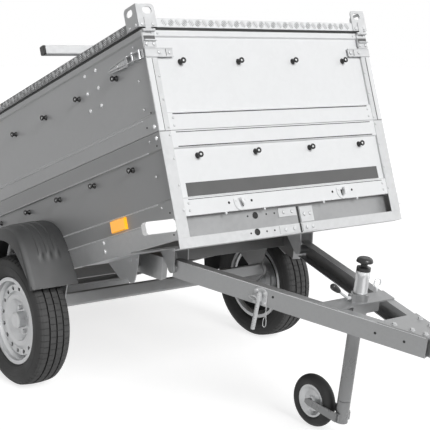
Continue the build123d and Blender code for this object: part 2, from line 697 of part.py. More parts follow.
# =====================================================================================================
# Wheels: turned about the Y axis, the outer side towards +Y, centred on the origin
# =====================================================================================================
half_width = TYRE_WIDTH / 2
well = half_width - RIM_INSET  # half the distance between the beads
barrel = RIM_RADIUS - BEAD_SEAT  # radius the beads sit on
disc_seat = RIM_RADIUS - RIM_WELL  # radius of the wheel disc
with BuildPart() as tyre:
    with BuildSketch(Plane.XY):
        with BuildLine():
            inner = Polyline(
                (RIM_RADIUS + RIM_CLEAR, -well),
                (barrel, -well),
                (barrel, well),
                (RIM_RADIUS + RIM_CLEAR, well),
            )
            side_a = ThreePointArc(
                inner @ 1, (RIM_RADIUS + 36, half_width), (TYRE_RADIUS - 10, half_width - 10)
            )
            shoulder_a = Line(side_a @ 1, (TYRE_RADIUS - 2, half_width - 24))
            tread = ThreePointArc(
                shoulder_a @ 1, (TYRE_RADIUS, 0), (TYRE_RADIUS - 2, 24 - half_width)
            )
            shoulder_b = Line(tread @ 1, (TYRE_RADIUS - 10, 10 - half_width))
            ThreePointArc(shoulder_b @ 1, (RIM_RADIUS + 36, -half_width), inner @ 0)
        make_face()
    revolve(axis=Axis.Y)

with BuildPart() as rim:
    with BuildSketch(Plane.XY):
        with BuildLine():
            Polyline(
                (RIM_RADIUS, -well),
                (RIM_RADIUS, -well - RIM_SHEET),
                (barrel - RIM_SHEET, -well - RIM_SHEET),
                (barrel - RIM_SHEET, -well + 10),
                (disc_seat, -well + 24),
                (disc_seat, well - 40),
                (barrel - RIM_SHEET, well - 12),
                (barrel - RIM_SHEET, well + RIM_SHEET),
                (RIM_RADIUS, well + RIM_SHEET),
                (RIM_RADIUS, well),
                (barrel, well),
                (barrel, well - 10),
                (disc_seat + RIM_SHEET, well - 38),
                (disc_seat + RIM_SHEET, -well + 26),
                (barrel, -well + 12),
                (barrel, -well),
                close=True,
            )
        make_face()
    revolve(axis=Axis.Y)
    with BuildSketch(Plane.XY):
        with BuildLine():
            Polyline(
                (disc_seat, well - 56),
                (disc_seat, well - 30),
                (disc_seat - 4, well - 22),
                (disc_seat - 30, well - 24),
                (disc_seat - 44, well - 16),
                (disc_seat - 62, well - 20),
                (HUB_FLANGE, well - DISC_FRONT),
                (HUB_RADIUS, well - DISC_FRONT),
                (HUB_RADIUS, well - DISC_BACK),
                (HUB_FLANGE + 3, well - DISC_BACK),
                (disc_seat - 64, well - 26),
                (disc_seat - 44, well - 22),
                (disc_seat - 28, well - 30),
                (disc_seat - 8, well - 28),
                (disc_seat - 5, well - 56),
                close=True,
            )
        make_face()
    revolve(axis=Axis.Y)
    with BuildSketch(Plane.XZ.offset(-well)):
        with PolarLocations(disc_seat - 18, RIM_HOLES):
            Circle(RIM_HOLE_RADIUS)
    extrude(amount=60, mode=Mode.SUBTRACT)
    # The hub in the middle: its flange behind the disc, the nuts on it, and a blind bore for the spindle
    hub_in = HUB_IN - WHEEL_Y
    hub_out = HUB_OUT - WHEEL_Y
    flange_front = well - DISC_BACK
    with BuildSketch(Plane.XY):
        with BuildLine():
            Polyline(
                (0, hub_in),
                (HUB_RADIUS, hub_in),
                (HUB_RADIUS, flange_front - HUB_FLANGE_THICK),
                (HUB_FLANGE, flange_front - HUB_FLANGE_THICK),
                (HUB_FLANGE, flange_front),
                (HUB_RADIUS, flange_front),
                (HUB_RADIUS, hub_out - HUB_BEVEL),
                (HUB_RADIUS - HUB_BEVEL, hub_out),
                (0, hub_out),
                close=True,
            )
        make_face()
    revolve(axis=Axis.Y)
    with BuildSketch(Plane.XZ.offset(DISC_FRONT - well)):
        with PolarLocations(WHEEL_BOLT_CIRCLE, WHEEL_BOLTS):
            RegularPolygon(NUT_RADIUS, 6)
    extrude(amount=-NUT_HEIGHT)
    with BuildSketch(Plane.XZ.offset(-hub_in)):
        Circle(SPINDLE_RADIUS + FIT)
    extrude(amount=hub_in - hub_out + HUB_CAP, mode=Mode.SUBTRACT)

axle_point = Location((AXLE_X, WHEEL_Y, AXLE_Z))
for name, piece in (("tyre", tyre.part), ("rim", rim.part)):
    placed = axle_point * piece
    keep(placed, f"left_{name}")
    keep(mirror(placed, Plane.XZ), f"right_{name}")


# =====================================================================================================
# Mudguards: an arched sheet with a turned-down outer lip and pressed ribs
# =====================================================================================================
def guard_arch(grow):
    """The area under the arch, grown outward by a distance, as a sketch on the XZ plane."""
    half = GUARD_HALF + grow
    rise = GUARD_RISE + grow
    radius = GUARD_CORNER + grow
    with BuildSketch(Plane.XZ) as arch:
        with BuildLine():
            leg = Line((-half, GUARD_LEG), (-half, rise - radius))
            bend_a = RadiusArc(leg @ 1, (-half + radius, rise), radius)
            crown = Line(bend_a @ 1, (half - radius, rise))
            bend_b = RadiusArc(crown @ 1, (half, rise - radius), radius)
            Polyline(bend_b @ 1, (half, GUARD_LEG), leg @ 0)
        make_face()
    return arch.sketch


with BuildPart() as guard:
    with BuildSketch(Plane.XZ):
        add(guard_arch(0))
        add(guard_arch(-GUARD_SHEET), mode=Mode.SUBTRACT)
    extrude(amount=-GUARD_WIDTH)
    with BuildSketch(Plane.XZ.offset(-GUARD_WIDTH + GUARD_SHEET)):
        add(guard_arch(0))
        add(guard_arch(-GUARD_LIP), mode=Mode.SUBTRACT)
    extrude(amount=-GUARD_SHEET)
    for rib_y in GUARD_RIB_OFFSETS:
        with BuildSketch(Plane.XZ.offset(-rib_y)):
            add(guard_arch(GUARD_RIB))
            add(guard_arch(0), mode=Mode.SUBTRACT)
        extrude(amount=-GUARD_RIB_WIDTH)
guard_left = Location((AXLE_X, HALF, AXLE_Z)) * guard.part
keep(both_sides(guard_left), "mudguards")


# =====================================================================================================
# Drawbar: two channel arms that meet at the nose, cross plates, coupling and tilt latches
# =====================================================================================================
arm_turn = degrees(atan2(ARM_ROOT_Y - ARM_NOSE_Y, ARM_NOSE_X))
arm_length = hypot(ARM_ROOT_Y - ARM_NOSE_Y, ARM_NOSE_X)


def arm_outer(x):
    """Distance of an arm's outer face from the drawbar's middle plane."""
    return ARM_ROOT_Y + (ARM_NOSE_Y - ARM_ROOT_Y) * x / ARM_NOSE_X


with BuildPart() as arm:
    add(
        Location((0, -ARM_ROOT_Y, ARM_HEIGHT / 2), (0, 0, arm_turn))
        * channel(arm_length, ARM_HEIGHT, ARM_FLANGE, ARM_SHEET)
    )
    eye_length = EYE_OUTER_Y - EYE_INNER_Y
    with BuildSketch(Plane.XZ.offset(EYE_INNER_Y)):
        Circle(EYE_TUBE_RADIUS)
    extrude(amount=eye_length)
    with BuildSketch(Plane.XZ.offset(EYE_INNER_Y)):
        Circle(PIVOT_RADIUS + FIT)
    extrude(amount=eye_length, mode=Mode.SUBTRACT)
keep(arm.part, "right_arm", DRAWBAR)
keep(mirror(arm.part, Plane.XZ), "left_arm", DRAWBAR)

# A plate across both arms carries the jockey wheel's clamp
with BuildPart() as cross_plate:
    back, front = JOCKEY_X - CROSS_PLATE_WIDTH / 2, JOCKEY_X + CROSS_PLATE_WIDTH / 2
    with BuildSketch(Plane.XY.offset(ARM_HEIGHT / 2)):
        with BuildLine():
            Polyline(
                (back, -arm_outer(back)),
                (front, -arm_outer(front)),
                (front, arm_outer(front)),
                (back, arm_outer(back)),
                close=True,
            )
        make_face()
    extrude(amount=CROSS_PLATE_SHEET)
    lip_y = arm_outer(front) - 2 * ARM_FLANGE
    with BuildSketch(Plane.YZ.offset(front - CROSS_PLATE_SHEET)):
        with Locations((0, ARM_HEIGHT / 2)):
            Rectangle(2 * lip_y, CROSS_PLATE_LIP, align=(Align.CENTER, Align.MAX))
    extrude(amount=CROSS_PLATE_SHEET)
    # The clamp: a ring with a boss towards the lever, bored for the jockey tube
    with BuildSketch(Plane.XY.offset(CLAMP_BASE)):
        with Locations((JOCKEY_X, 0)):
            Circle(TUBE_RADIUS + CLAMP_WALL)
            Rectangle(CLAMP_BOSS, TUBE_RADIUS + CLAMP_WALL + CLAMP_REACH, align=(Align.CENTER, Align.MAX))
    extrude(amount=CLAMP_TOP - CLAMP_BASE)
    with BuildSketch(Plane.XY.offset(CLAMP_BASE)):
        with Locations((JOCKEY_X, 0)):
            Circle(TUBE_RADIUS + FIT)
    extrude(amount=CLAMP_TOP - CLAMP_BASE, mode=Mode.SUBTRACT)
keep(cross_plate.part, "cross_plate", DRAWBAR)

boss_y = -TUBE_RADIUS - CLAMP_WALL - CLAMP_REACH
lever_start = Vector(JOCKEY_X, boss_y, CLAMP_TOP - CLAMP_BOSS / 2)
lever_bend = lever_start - Vector(0, LEVER_STUB, 0)
lever_way = Vector(0, -cos(LEVER_ANGLE), sin(LEVER_ANGLE))
lever_grip = lever_bend + lever_way * LEVER_ROD
with BuildPart() as lever:
    with BuildSketch(Plane.XZ.offset(-boss_y)):
        with Locations((lever_start.X, lever_start.Z)):
            Circle(LEVER_STUB_RADIUS)
    extrude(amount=LEVER_STUB + LEVER_STUB_RADIUS)
    with BuildSketch(Plane(lever_bend, z_dir=lever_way)):
        Circle(LEVER_RADIUS)
    extrude(amount=LEVER_ROD)
    with BuildSketch(Plane(lever_grip, z_dir=lever_way)):
        Circle(GRIP_RADIUS * 0.7)
    with BuildSketch(Plane(lever_grip + lever_way * GRIP_LENGTH, z_dir=lever_way)):
        Circle(GRIP_RADIUS)
    loft()
    fillet(lever.edges().sort_by(Axis.Y)[0], GRIP_RADIUS * 0.4)
keep(lever.part, "clamp_lever", DRAWBAR)

NOSE_BACK = ARM_NOSE_X - NOSE_PLATE_LENGTH
with BuildPart() as nose_plate:
    with BuildSketch(Plane.XY.offset(ARM_HEIGHT / 2)):
        with BuildLine():
            Polyline(
                (NOSE_BACK, -arm_outer(NOSE_BACK)),
                (ARM_NOSE_X, -ARM_NOSE_Y),
                (ARM_NOSE_X, ARM_NOSE_Y),
                (NOSE_BACK, arm_outer(NOSE_BACK)),
                close=True,
            )
        make_face()
    extrude(amount=CROSS_PLATE_SHEET)
keep(nose_plate.part, "nose_plate", DRAWBAR)

HEAD_X = ARM_NOSE_X + COUPLING_REACH - HEAD_RADIUS
NECK_X = ARM_NOSE_X - NECK_OVERLAP
NECK_TOP = ARM_HEIGHT / 2 - ARM_SHEET
neck_wall = NECK_WIDTH / 2 - NECK_SHEET
with BuildPart() as head:
    with BuildSketch(Plane.XY.offset(-NECK_TOP)):
        with BuildLine():
            Polyline(
                (NECK_X, -NECK_WIDTH / 2),
                (HEAD_X, -HEAD_RADIUS * 0.8),
                (HEAD_X, HEAD_RADIUS * 0.8),
                (NECK_X, NECK_WIDTH / 2),
                close=True,
            )
        make_face()
    extrude(amount=2 * NECK_TOP)
    with BuildSketch(Plane.XY.offset(-NECK_TOP - HEAD_DROP)):
        with Locations((HEAD_X, 0)):
            Circle(HEAD_RADIUS)
    extrude(amount=2 * NECK_TOP + HEAD_DROP)
    top_edges = head.edges().group_by(Axis.Z)[-1].sort_by(Axis.X)
    fillet(top_edges[1:], HEAD_ROUND)
    # The neck is a folded channel, open below, and the head has the ball socket
    with BuildSketch(Plane.XY.offset(-NECK_TOP)):
        with BuildLine():
            Polyline(
                (NECK_X, -neck_wall),
                (HEAD_X - HEAD_RADIUS, -neck_wall),
                (HEAD_X - HEAD_RADIUS, neck_wall),
                (NECK_X, neck_wall),
                close=True,
            )
        make_face()
    extrude(amount=2 * NECK_TOP - NECK_SHEET, mode=Mode.SUBTRACT)
    with Locations((HEAD_X, 0, -SOCKET_DROP)):
        Sphere(BALL_RADIUS, mode=Mode.SUBTRACT)
    with BuildSketch(Plane.XY.offset(-SOCKET_DROP)):
        with Locations((HEAD_X, 0)):
            Circle(BALL_RADIUS)
    extrude(amount=-2 * NECK_TOP, mode=Mode.SUBTRACT)
keep(head.part, "coupling_head", DRAWBAR)

with BuildPart() as handle:
    with BuildSketch(Plane.XZ.offset(-HANDLE_WIDTH / 2)):
        with BuildLine():
            Polyline(
                (HEAD_X - 30, NECK_TOP),
                (HEAD_X + 12, NECK_TOP),
                (HEAD_X, NECK_TOP + 26),
                (HEAD_X - 60, NECK_TOP + 44),
                (HEAD_X - 165, NECK_TOP + 50),
                (HEAD_X - 165, NECK_TOP + 36),
                (HEAD_X - 66, NECK_TOP + 28),
                close=True,
            )
        make_face()
    extrude(amount=HANDLE_WIDTH)
    fillet(handle.edges().filter_by(Axis.Y).sort_by(Axis.Z)[2:], 5)
keep(handle.part, "coupling_handle", DRAWBAR)

with BuildPart() as tilt_latch:
    plate_x = LATCH_ARM_X
    outer = arm_outer(plate_x)
    pin_y = outer + LATCH_PLATE[1] + LATCH_PIN_RADIUS
    with Locations(Location((plate_x, outer, 0), (0, 0, -arm_turn))):
        Box(*LATCH_PLATE, align=(Align.CENTER, Align.MIN, Align.CENTER))
    with BuildSketch(Plane.XY.offset(LATCH_SLEEVE / 2)):
        with Locations((plate_x, pin_y)):
            Circle(LATCH_PIN_RADIUS + LATCH_SLEEVE_WALL)
    extrude(amount=-LATCH_SLEEVE)
    with BuildSketch(Plane.XY):
        with Locations((plate_x, pin_y)):
            Circle(LATCH_PIN_RADIUS)
    extrude(amount=-LATCH_PIN_LENGTH)
keep(both_sides(tilt_latch.part), "tilt_latches", DRAWBAR)


# =====================================================================================================
# Jockey wheel: a tube in the clamp, a swivelling stem with its fork, and the wheel
# =====================================================================================================
with BuildPart() as jockey_tube:
    with BuildSketch(Plane.XY.offset(TUBE_END)):
        with Locations((JOCKEY_X, 0)):
            Circle(TUBE_RADIUS)
            Circle(TUBE_RADIUS - TUBE_WALL, mode=Mode.SUBTRACT)
    extrude(amount=TUBE_TOP - TUBE_END)
    with BuildSketch(Plane.XY.offset(TUBE_TOP)):
        with Locations((JOCKEY_X, 0)):
            Circle(TUBE_RADIUS)
    extrude(amount=-TUBE_WALL)
keep(jockey_tube.part, "jockey_tube", DRAWBAR)

with BuildPart() as jockey_knob:
    with BuildSketch(Plane.XZ):
        with BuildLine():
            outline = Polyline(
                (JOCKEY_X, TUBE_TOP),
                (JOCKEY_X + KNOB_COLLAR, TUBE_TOP),
                (JOCKEY_X + KNOB_COLLAR, TUBE_TOP + KNOB_HEIGHT / 4),
                (JOCKEY_X + KNOB_NECK, TUBE_TOP + KNOB_HEIGHT / 3),
                (JOCKEY_X + KNOB_NECK, TUBE_TOP + KNOB_HEIGHT / 2),
                (JOCKEY_X + KNOB_RADIUS, TUBE_TOP + KNOB_HEIGHT * 0.65),
            )
            dome = ThreePointArc(
                outline @ 1,
                (JOCKEY_X + KNOB_RADIUS * 0.85, TUBE_TOP + KNOB_HEIGHT * 0.92),
                (JOCKEY_X + KNOB_NECK, TUBE_TOP + KNOB_HEIGHT),
            )
            Polyline(dome @ 1, (JOCKEY_X, TUBE_TOP + KNOB_HEIGHT), outline @ 0)
        make_face()
    revolve(axis=Axis((JOCKEY_X, 0, 0), (0, 0, 1)))
keep(jockey_knob.part, "jockey_knob", DRAWBAR)

hub_x = JOCKEY_X - JOCKEY_TRAIL
cheek_out = JOCKEY_WIDTH / 2 + FORK_RUN
with BuildPart() as fork:
    with BuildSketch(Plane.XY.offset(STEM_END)):
        with Locations((JOCKEY_X, 0)):
            Circle(STEM_RADIUS)
    extrude(amount=TUBE_END + STEM_REACH - STEM_END)
    with BuildSketch(Plane.XY.offset(STEM_END)):
        with Locations((JOCKEY_X, 0)):
            Circle(TUBE_RADIUS)
    extrude(amount=TUBE_END - STEM_RUN - STEM_END)
    for side_y in (-cheek_out - FORK_SHEET, cheek_out):
        with BuildSketch(Plane.XZ.offset(-side_y)):
            with BuildLine():
                Polyline(
                    (JOCKEY_X + 4, JOCKEY_HUB_Z - FORK_HEIGHT / 2),
                    (JOCKEY_X + 4, JOCKEY_HUB_Z + FORK_HEIGHT / 2),
                    (hub_x, JOCKEY_HUB_Z + FORK_HEIGHT / 2.6),
                    (hub_x - 15, JOCKEY_HUB_Z + FORK_HEIGHT / 5),
                    (hub_x - 15, JOCKEY_HUB_Z - FORK_HEIGHT / 5),
                    (hub_x, JOCKEY_HUB_Z - FORK_HEIGHT / 2.6),
                    close=True,
                )
            make_face()
        extrude(amount=-FORK_SHEET)
    with Locations((JOCKEY_X, 0, JOCKEY_HUB_Z)):
        Box(22, 2 * cheek_out, FORK_HEIGHT * 0.9)
    with BuildSketch(Plane.XZ.offset(-cheek_out - FORK_SHEET)):
        with Locations((hub_x, JOCKEY_HUB_Z)):
            Circle(JOCKEY_AXLE_RADIUS)
    extrude(amount=2 * (cheek_out + FORK_SHEET))
keep(fork.part, "jockey_fork", DRAWBAR)

jockey_half = JOCKEY_WIDTH / 2
rim_half = jockey_half - 12
with BuildPart() as jockey_tyre:
    with BuildSketch(Plane.XY):
        with BuildLine():
            mid = (JOCKEY_RIM + JOCKEY_RADIUS) / 2
            shoulder = JOCKEY_RADIUS - 7
            base = Line((JOCKEY_RIM, -rim_half - 6), (JOCKEY_RIM, rim_half + 6))
            side_a = ThreePointArc(base @ 1, (mid, jockey_half), (shoulder, jockey_half - 8))
            tread = ThreePointArc(side_a @ 1, (JOCKEY_RADIUS, 0), (shoulder, 8 - jockey_half))
            ThreePointArc(tread @ 1, (mid, -jockey_half), base @ 0)
        make_face()
    revolve(axis=Axis.Y)
hub_point = Location((hub_x, 0, JOCKEY_HUB_Z))
keep(hub_point * jockey_tyre.part, "jockey_tyre", DRAWBAR)

with BuildPart() as jockey_rim:
    with BuildSketch(Plane.XY):
        with BuildLine():
            Polyline(
                (JOCKEY_AXLE_RADIUS + FIT, -jockey_half - 2),
                (20, -jockey_half - 2),
                (20, -rim_half),
                (40, 4 - rim_half),
                (JOCKEY_RIM - 8, -rim_half - 6),
                (JOCKEY_RIM, -rim_half - 6),
                (JOCKEY_RIM, rim_half + 6),
                (JOCKEY_RIM - 8, rim_half + 6),
                (40, rim_half - 4),
                (20, rim_half),
                (20, jockey_half + 2),
                (JOCKEY_AXLE_RADIUS + FIT, jockey_half + 2),
                close=True,
            )
        make_face()
    revolve(axis=Axis.Y)
keep(hub_point * jockey_rim.part, "jockey_rim", DRAWBAR)


# =====================================================================================================
# The origin goes on the ground under the middle of the outline, and every piece is written
# =====================================================================================================
boxes = [piece.bounding_box() for piece in pieces.values()]
ORIGIN = Location(
    (
        -(min(box.min.X for box in boxes) + max(box.max.X for box in boxes)) / 2,
        0,
        -min(box.min.Z for box in boxes),
    )
)
os.makedirs("parts", exist_ok=True)
for name, piece in pieces.items():
    placed = ORIGIN * piece
    placed.label = name
    export_step(placed, f"parts/{name}.step")
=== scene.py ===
"""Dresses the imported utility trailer: materials for its CAD parts, chequer plate on the lid, treaded tyres,
faceted mudguards, latches, studs and fasteners, and the studio with its camera."""
import json
from math import cos, pi, radians, sin

import bpy
from mathutils import Matrix, Vector


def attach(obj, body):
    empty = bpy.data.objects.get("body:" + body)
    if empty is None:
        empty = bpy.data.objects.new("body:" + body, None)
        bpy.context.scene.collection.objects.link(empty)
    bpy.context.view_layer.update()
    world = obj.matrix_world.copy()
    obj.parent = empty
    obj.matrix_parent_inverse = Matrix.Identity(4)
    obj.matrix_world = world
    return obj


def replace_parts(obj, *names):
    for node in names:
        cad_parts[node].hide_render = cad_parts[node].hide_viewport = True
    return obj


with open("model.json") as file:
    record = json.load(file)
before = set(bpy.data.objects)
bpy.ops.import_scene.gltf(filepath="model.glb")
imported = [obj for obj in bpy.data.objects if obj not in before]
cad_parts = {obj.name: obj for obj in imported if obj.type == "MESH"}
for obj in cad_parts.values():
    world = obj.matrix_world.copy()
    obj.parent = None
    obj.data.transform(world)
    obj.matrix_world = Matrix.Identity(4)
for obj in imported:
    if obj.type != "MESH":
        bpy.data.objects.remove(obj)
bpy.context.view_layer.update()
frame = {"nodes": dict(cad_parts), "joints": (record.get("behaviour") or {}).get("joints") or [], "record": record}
nodes = frame["nodes"]
joints = {joint["name"]: joint for joint in frame["joints"]}

X = Vector((1, 0, 0))
Y = Vector((0, 1, 0))
Z = Vector((0, 0, 1))
RIGHT = -Y  # out of the right side wall

# Sizes of the trailer in metres. The bed frame starts in the middle of the front wall's lower edge, with X
# ahead, Y to the left and Z square to the floor; the drawbar frame starts at the tilt pin.
BED_LENGTH = 2.058
HALF = 0.560
WALL = 0.022
PRESS = 0.007
POST_PLATE = 0.002
RAIL_FACE = -0.030
LID_BASE = 0.6763
LID_TOP = 0.7103
LID_OVERHANG = 0.005
BAR_INSET = 0.5
BAR_FOOT_Y = 0.49
BAR_FOOT_CLEAR = 0.04
FOOT_CLEAR_LONG = BAR_FOOT_CLEAR * 0.7
TYRE_RADIUS = 0.270
BEAD_RADIUS = 0.171
ARM_ROOT_Y = 0.351
ARM_NOSE_Y = 0.044
ARM_NOSE_X = 0.971
ARM_TOP = 0.035
PLATE_TOP = 0.040
JOCKEY_X = 0.624


def in_scene(name, data):
    """A new object, linked into the scene."""
    made = bpy.data.objects.new(name, data)
    bpy.context.scene.collection.objects.link(made)
    return made


def turned_frame(origin, up):
    """A frame with its Z along up and its X forward, in the plane of symmetry."""
    ahead = Vector((up.z, 0, -up.x))
    axes = Matrix((ahead, Y, up)).transposed().to_4x4()
    return Matrix.Translation(origin) @ axes


lower_pin = Vector(joints["lower_gate_hinge"]["pos_m"])
upper_pin = Vector(joints["upper_gate_hinge"]["pos_m"])
BED = turned_frame(lower_pin, (upper_pin - lower_pin).normalized())
BED = BED @ Matrix.Translation((BED_LENGTH - WALL / 2, 0, -WALL / 2))
tilt_pin = Vector(joints["drawbar_tilt"]["pos_m"])
DRAWBAR = turned_frame(tilt_pin, Vector(joints["jockey_slide"]["axis"]).normalized())


# ---- Camera
IMAGE_SIZE = 430
SENSOR = 36
FOCAL_PIXELS = 1020.73
CENTRE_PIXEL = (149.95, 221.86)
CAMERA_AT = Vector((2.80011, -2.62416, -0.32283))  # in the bed frame
CAMERA_TURN = 0.610669
CAMERA_RISE = 0.092627
CAMERA_ROLL = -0.177916

look = Vector(
    (-cos(CAMERA_TURN) * cos(CAMERA_RISE), sin(CAMERA_TURN) * cos(CAMERA_RISE), sin(CAMERA_RISE))
)
level_right = look.cross(Z).normalized()
level_up = level_right.cross(look)
right = cos(CAMERA_ROLL) * level_right + sin(CAMERA_ROLL) * level_up
upward = cos(CAMERA_ROLL) * level_up - sin(CAMERA_ROLL) * level_right
camera_data = bpy.data.cameras.new("camera")
camera = in_scene("camera", camera_data)
camera_axes = Matrix((right, upward, -look)).transposed().to_4x4()
camera.matrix_world = BED @ Matrix.Translation(CAMERA_AT) @ camera_axes
camera_data.sensor_width = SENSOR
camera_data.lens = FOCAL_PIXELS / IMAGE_SIZE * SENSOR
camera_data.shift_x = (IMAGE_SIZE / 2 - CENTRE_PIXEL[0]) / IMAGE_SIZE
camera_data.shift_y = (CENTRE_PIXEL[1] - IMAGE_SIZE / 2) / IMAGE_SIZE
camera_data.clip_end = 100
bpy.context.scene.camera = camera


# ---- Materials
def shader(name):
    """A new material with its node tree and its Principled shader."""
    made = bpy.data.materials.new(name)
    made.use_nodes = True
    tree = made.node_tree
    return made, tree, tree.nodes["Principled BSDF"]


def texture(tree, kind, scale, stretch=(1, 1, 1), **settings):
    """A texture node on object coordinates, scaled per metre and stretched along the axes."""
    coordinates = tree.nodes.new("ShaderNodeTexCoord")
    mapping = tree.nodes.new("ShaderNodeMapping")
    mapping.inputs["Scale"].default_value = [scale * s for s in stretch]
    node = tree.nodes.new(kind)
    node.inputs["Scale"].default_value = 1
    for key, value in settings.items():
        if key in node.inputs:
            node.inputs[key].default_value = value
        else:
            setattr(node, key, value)
    tree.links.new(coordinates.outputs["Object"], mapping.inputs["Vector"])
    tree.links.new(mapping.outputs["Vector"], node.inputs["Vector"])
    return node


def spread(tree, source, low, high, target, start=0.3, end=0.7):
    """Maps a texture's value from start..end to low..high on a shader's socket."""
    node = tree.nodes.new("ShaderNodeMapRange")
    node.inputs["From Min"].default_value = start
    node.inputs["From Max"].default_value = end
    node.inputs["To Min"].default_value = low
    node.inputs["To Max"].default_value = high
    tree.links.new(source, node.inputs["Value"])
    tree.links.new(node.outputs["Result"], target)


def shades(tree, source, dark, light, target, start=0.3, end=0.7):
    """Maps a texture's value to a colour between dark and light on a shader's socket."""
    ramp = tree.nodes.new("ShaderNodeValToRGB")
    ramp.color_ramp.elements[0].position = start
    ramp.color_ramp.elements[0].color = (*dark, 1)
    ramp.color_ramp.elements[1].position = end
    ramp.color_ramp.elements[1].color = (*light, 1)
    tree.links.new(source, ramp.inputs["Fac"])
    tree.links.new(ramp.outputs["Color"], target)


def relief(tree, bsdf, source, depth, strength=1.0):
    """Bump from a texture's value, depth in metres."""
    bump = tree.nodes.new("ShaderNodeBump")
    bump.inputs["Distance"].default_value = depth
    bump.inputs["Strength"].default_value = strength
    tree.links.new(source, bump.inputs["Height"])
    tree.links.new(bump.outputs["Normal"], bsdf.inputs["Normal"])


def grey(value, tint=0.0):
    """A grey, a little blue where tint is above 0."""
    return (value * (1 - tint), value, value * (1 + tint))


HAZE_SCALE = 9.0  # per metre, as the other texture scales
HAZE_SHARE = 0.45
LINE_SCALE = 60.0
LINE_STRETCH = (1, 1, 14)
LINE_DEPTH = 0.0001


def zinc(name, value, roughness, metallic, spangle, contrast):
    """Galvanised steel: crystals that differ a little in shade and gloss, under fine rolling lines."""
    made, tree, bsdf = shader(name)
    crystals = texture(tree, "ShaderNodeTexVoronoi", spangle, Randomness=1.0)
    haze = texture(tree, "ShaderNodeTexNoise", HAZE_SCALE, Detail=5.0)
    mixed = tree.nodes.new("ShaderNodeMix")
    mixed.data_type = "RGBA"
    mixed.inputs["Factor"].default_value = HAZE_SHARE
    tree.links.new(crystals.outputs["Color"], mixed.inputs["A"])
    tree.links.new(haze.outputs["Fac"], mixed.inputs["B"])
    bright = tree.nodes.new("ShaderNodeRGBToBW")
    tree.links.new(mixed.outputs["Result"], bright.inputs["Color"])
    dark = grey(value * (1 - 0.035 * contrast), 0.01)
    light = grey(value * (1 + 0.02 * contrast), 0.01)
    shades(tree, bright.outputs["Val"], dark, light, bsdf.inputs["Base Color"])
    glossy = roughness - 0.06 * contrast
    dull = roughness + 0.08 * contrast
    spread(tree, bright.outputs["Val"], glossy, dull, bsdf.inputs["Roughness"])
    bsdf.inputs["Metallic"].default_value = metallic
    lines = texture(tree, "ShaderNodeTexNoise", LINE_SCALE, stretch=LINE_STRETCH, Detail=4.0)
    relief(tree, bsdf, lines.outputs["Fac"], LINE_DEPTH, 0.25)
    return made


def plastic(name, dark, light, roughness, grain, depth):
    """Moulded plastic or rubber with a fine grain and faint uneven patches."""
    made, tree, bsdf = shader(name)
    patches = texture(tree, "ShaderNodeTexNoise", 14.0, Detail=6.0)
    shades(tree, patches.outputs["Fac"], dark, light, bsdf.inputs["Base Color"])
    spread(tree, patches.outputs["Fac"], roughness - 0.06, roughness + 0.08, bsdf.inputs["Roughness"])
    pores = texture(tree, "ShaderNodeTexNoise", grain, Detail=2.0)
    relief(tree, bsdf, pores.outputs["Fac"], depth, 0.5)
    return made


def lens(name, colour, shine, ribs, painted_glow):
    """A moulded lamp lens or reflector: clear plastic over small prisms, with painted light as its glow."""
    made, tree, bsdf = shader(name)
    prisms = texture(tree, "ShaderNodeTexVoronoi", ribs, Randomness=0.0)
    prisms.distance = "CHEBYCHEV"
    dark = [channel * 0.72 for channel in colour]
    shades(tree, prisms.outputs["Distance"], colour, dark, bsdf.inputs["Base Color"], 0.15, 0.55)
    bsdf.inputs["Roughness"].default_value = shine
    bsdf.inputs["Coat Weight"].default_value = 0.8
    bsdf.inputs["Coat Roughness"].default_value = 0.08
    relief(tree, bsdf, prisms.outputs["Distance"], 0.0006, 0.6)
    bsdf.inputs["Emission Color"].default_value = (*colour, 1)
    bsdf.inputs["Emission Strength"].default_value = painted_glow
    return made


def plywood(name):
    """Film-faced plywood: a dark brown film with a wire-mesh print."""
    made, tree, bsdf = shader(name)
    grain = texture(tree, "ShaderNodeTexNoise", 24.0, stretch=(0.2, 3, 3), Detail=6.0)
    shades(tree, grain.outputs["Fac"], (0.035, 0.02, 0.012), (0.07, 0.042, 0.026), bsdf.inputs["Base Color"])
    spread(tree, grain.outputs["Fac"], 0.38, 0.55, bsdf.inputs["Roughness"])
    mesh_print = texture(tree, "ShaderNodeTexVoronoi", 180.0, Randomness=0.0)
    relief(tree, bsdf, mesh_print.outputs["Distance"], 0.0004, 0.5)
    return made


ZINCS = {  # name: grey, roughness, metallic, spangles per metre, contrast
    "zinc_wall": (0.72, 0.42, 0.05, 55.0, 0.35),
    # upper and lower side walls: zinc_wall painted darker as shade, the lower wall darker still
    "upper_side_zinc": (0.66, 0.42, 0.05, 55.0, 0.35),
    "lower_side_zinc": (0.47, 0.42, 0.05, 55.0, 0.35),
    "zinc_frame": (0.60, 0.42, 0.22, 70.0, 1.0),
    # aged_zinc: zinc_frame painted darker as shade on the rails, beams, swing arms and cross member under the body
    "aged_zinc": (0.34, 0.40, 0.45, 70.0, 1.0),
    "arm_zinc": (0.35, 0.34, 0.55, 140.0, 1.0),
    # tube_zinc: zinc painted dark as shade on the jockey tube and fork
    "tube_zinc": (0.27, 0.32, 0.5, 60.0, 1.0),
    # crease_zinc: pale strips that paint highlights along edges
    "crease_zinc": (0.88, 0.55, 0.0, 55.0, 0.2),
    "lid_plate": (0.46, 0.34, 0.35, 160.0, 1.0),
    # lip_zinc: lid zinc painted darker as shade on the lid's sides
    "lip_zinc": (0.24, 0.42, 0.2, 55.0, 0.3),
    # front_bars: bars on the lid's front painted darker as shade; lid_bars: the other bars painted pale as
    # highlight
    "front_bars": (0.34, 0.34, 0.3, 300.0, 1.0),
    "lid_bars": (0.95, 0.30, 0.15, 300.0, 1.0),
    "coupling_steel": (0.55, 0.30, 0.4, 200.0, 0.5),
    "bright_steel": (0.90, 0.24, 0.35, 200.0, 0.4),
    "rim_silver": (0.76, 0.32, 0.40, 900.0, 0.5),
}
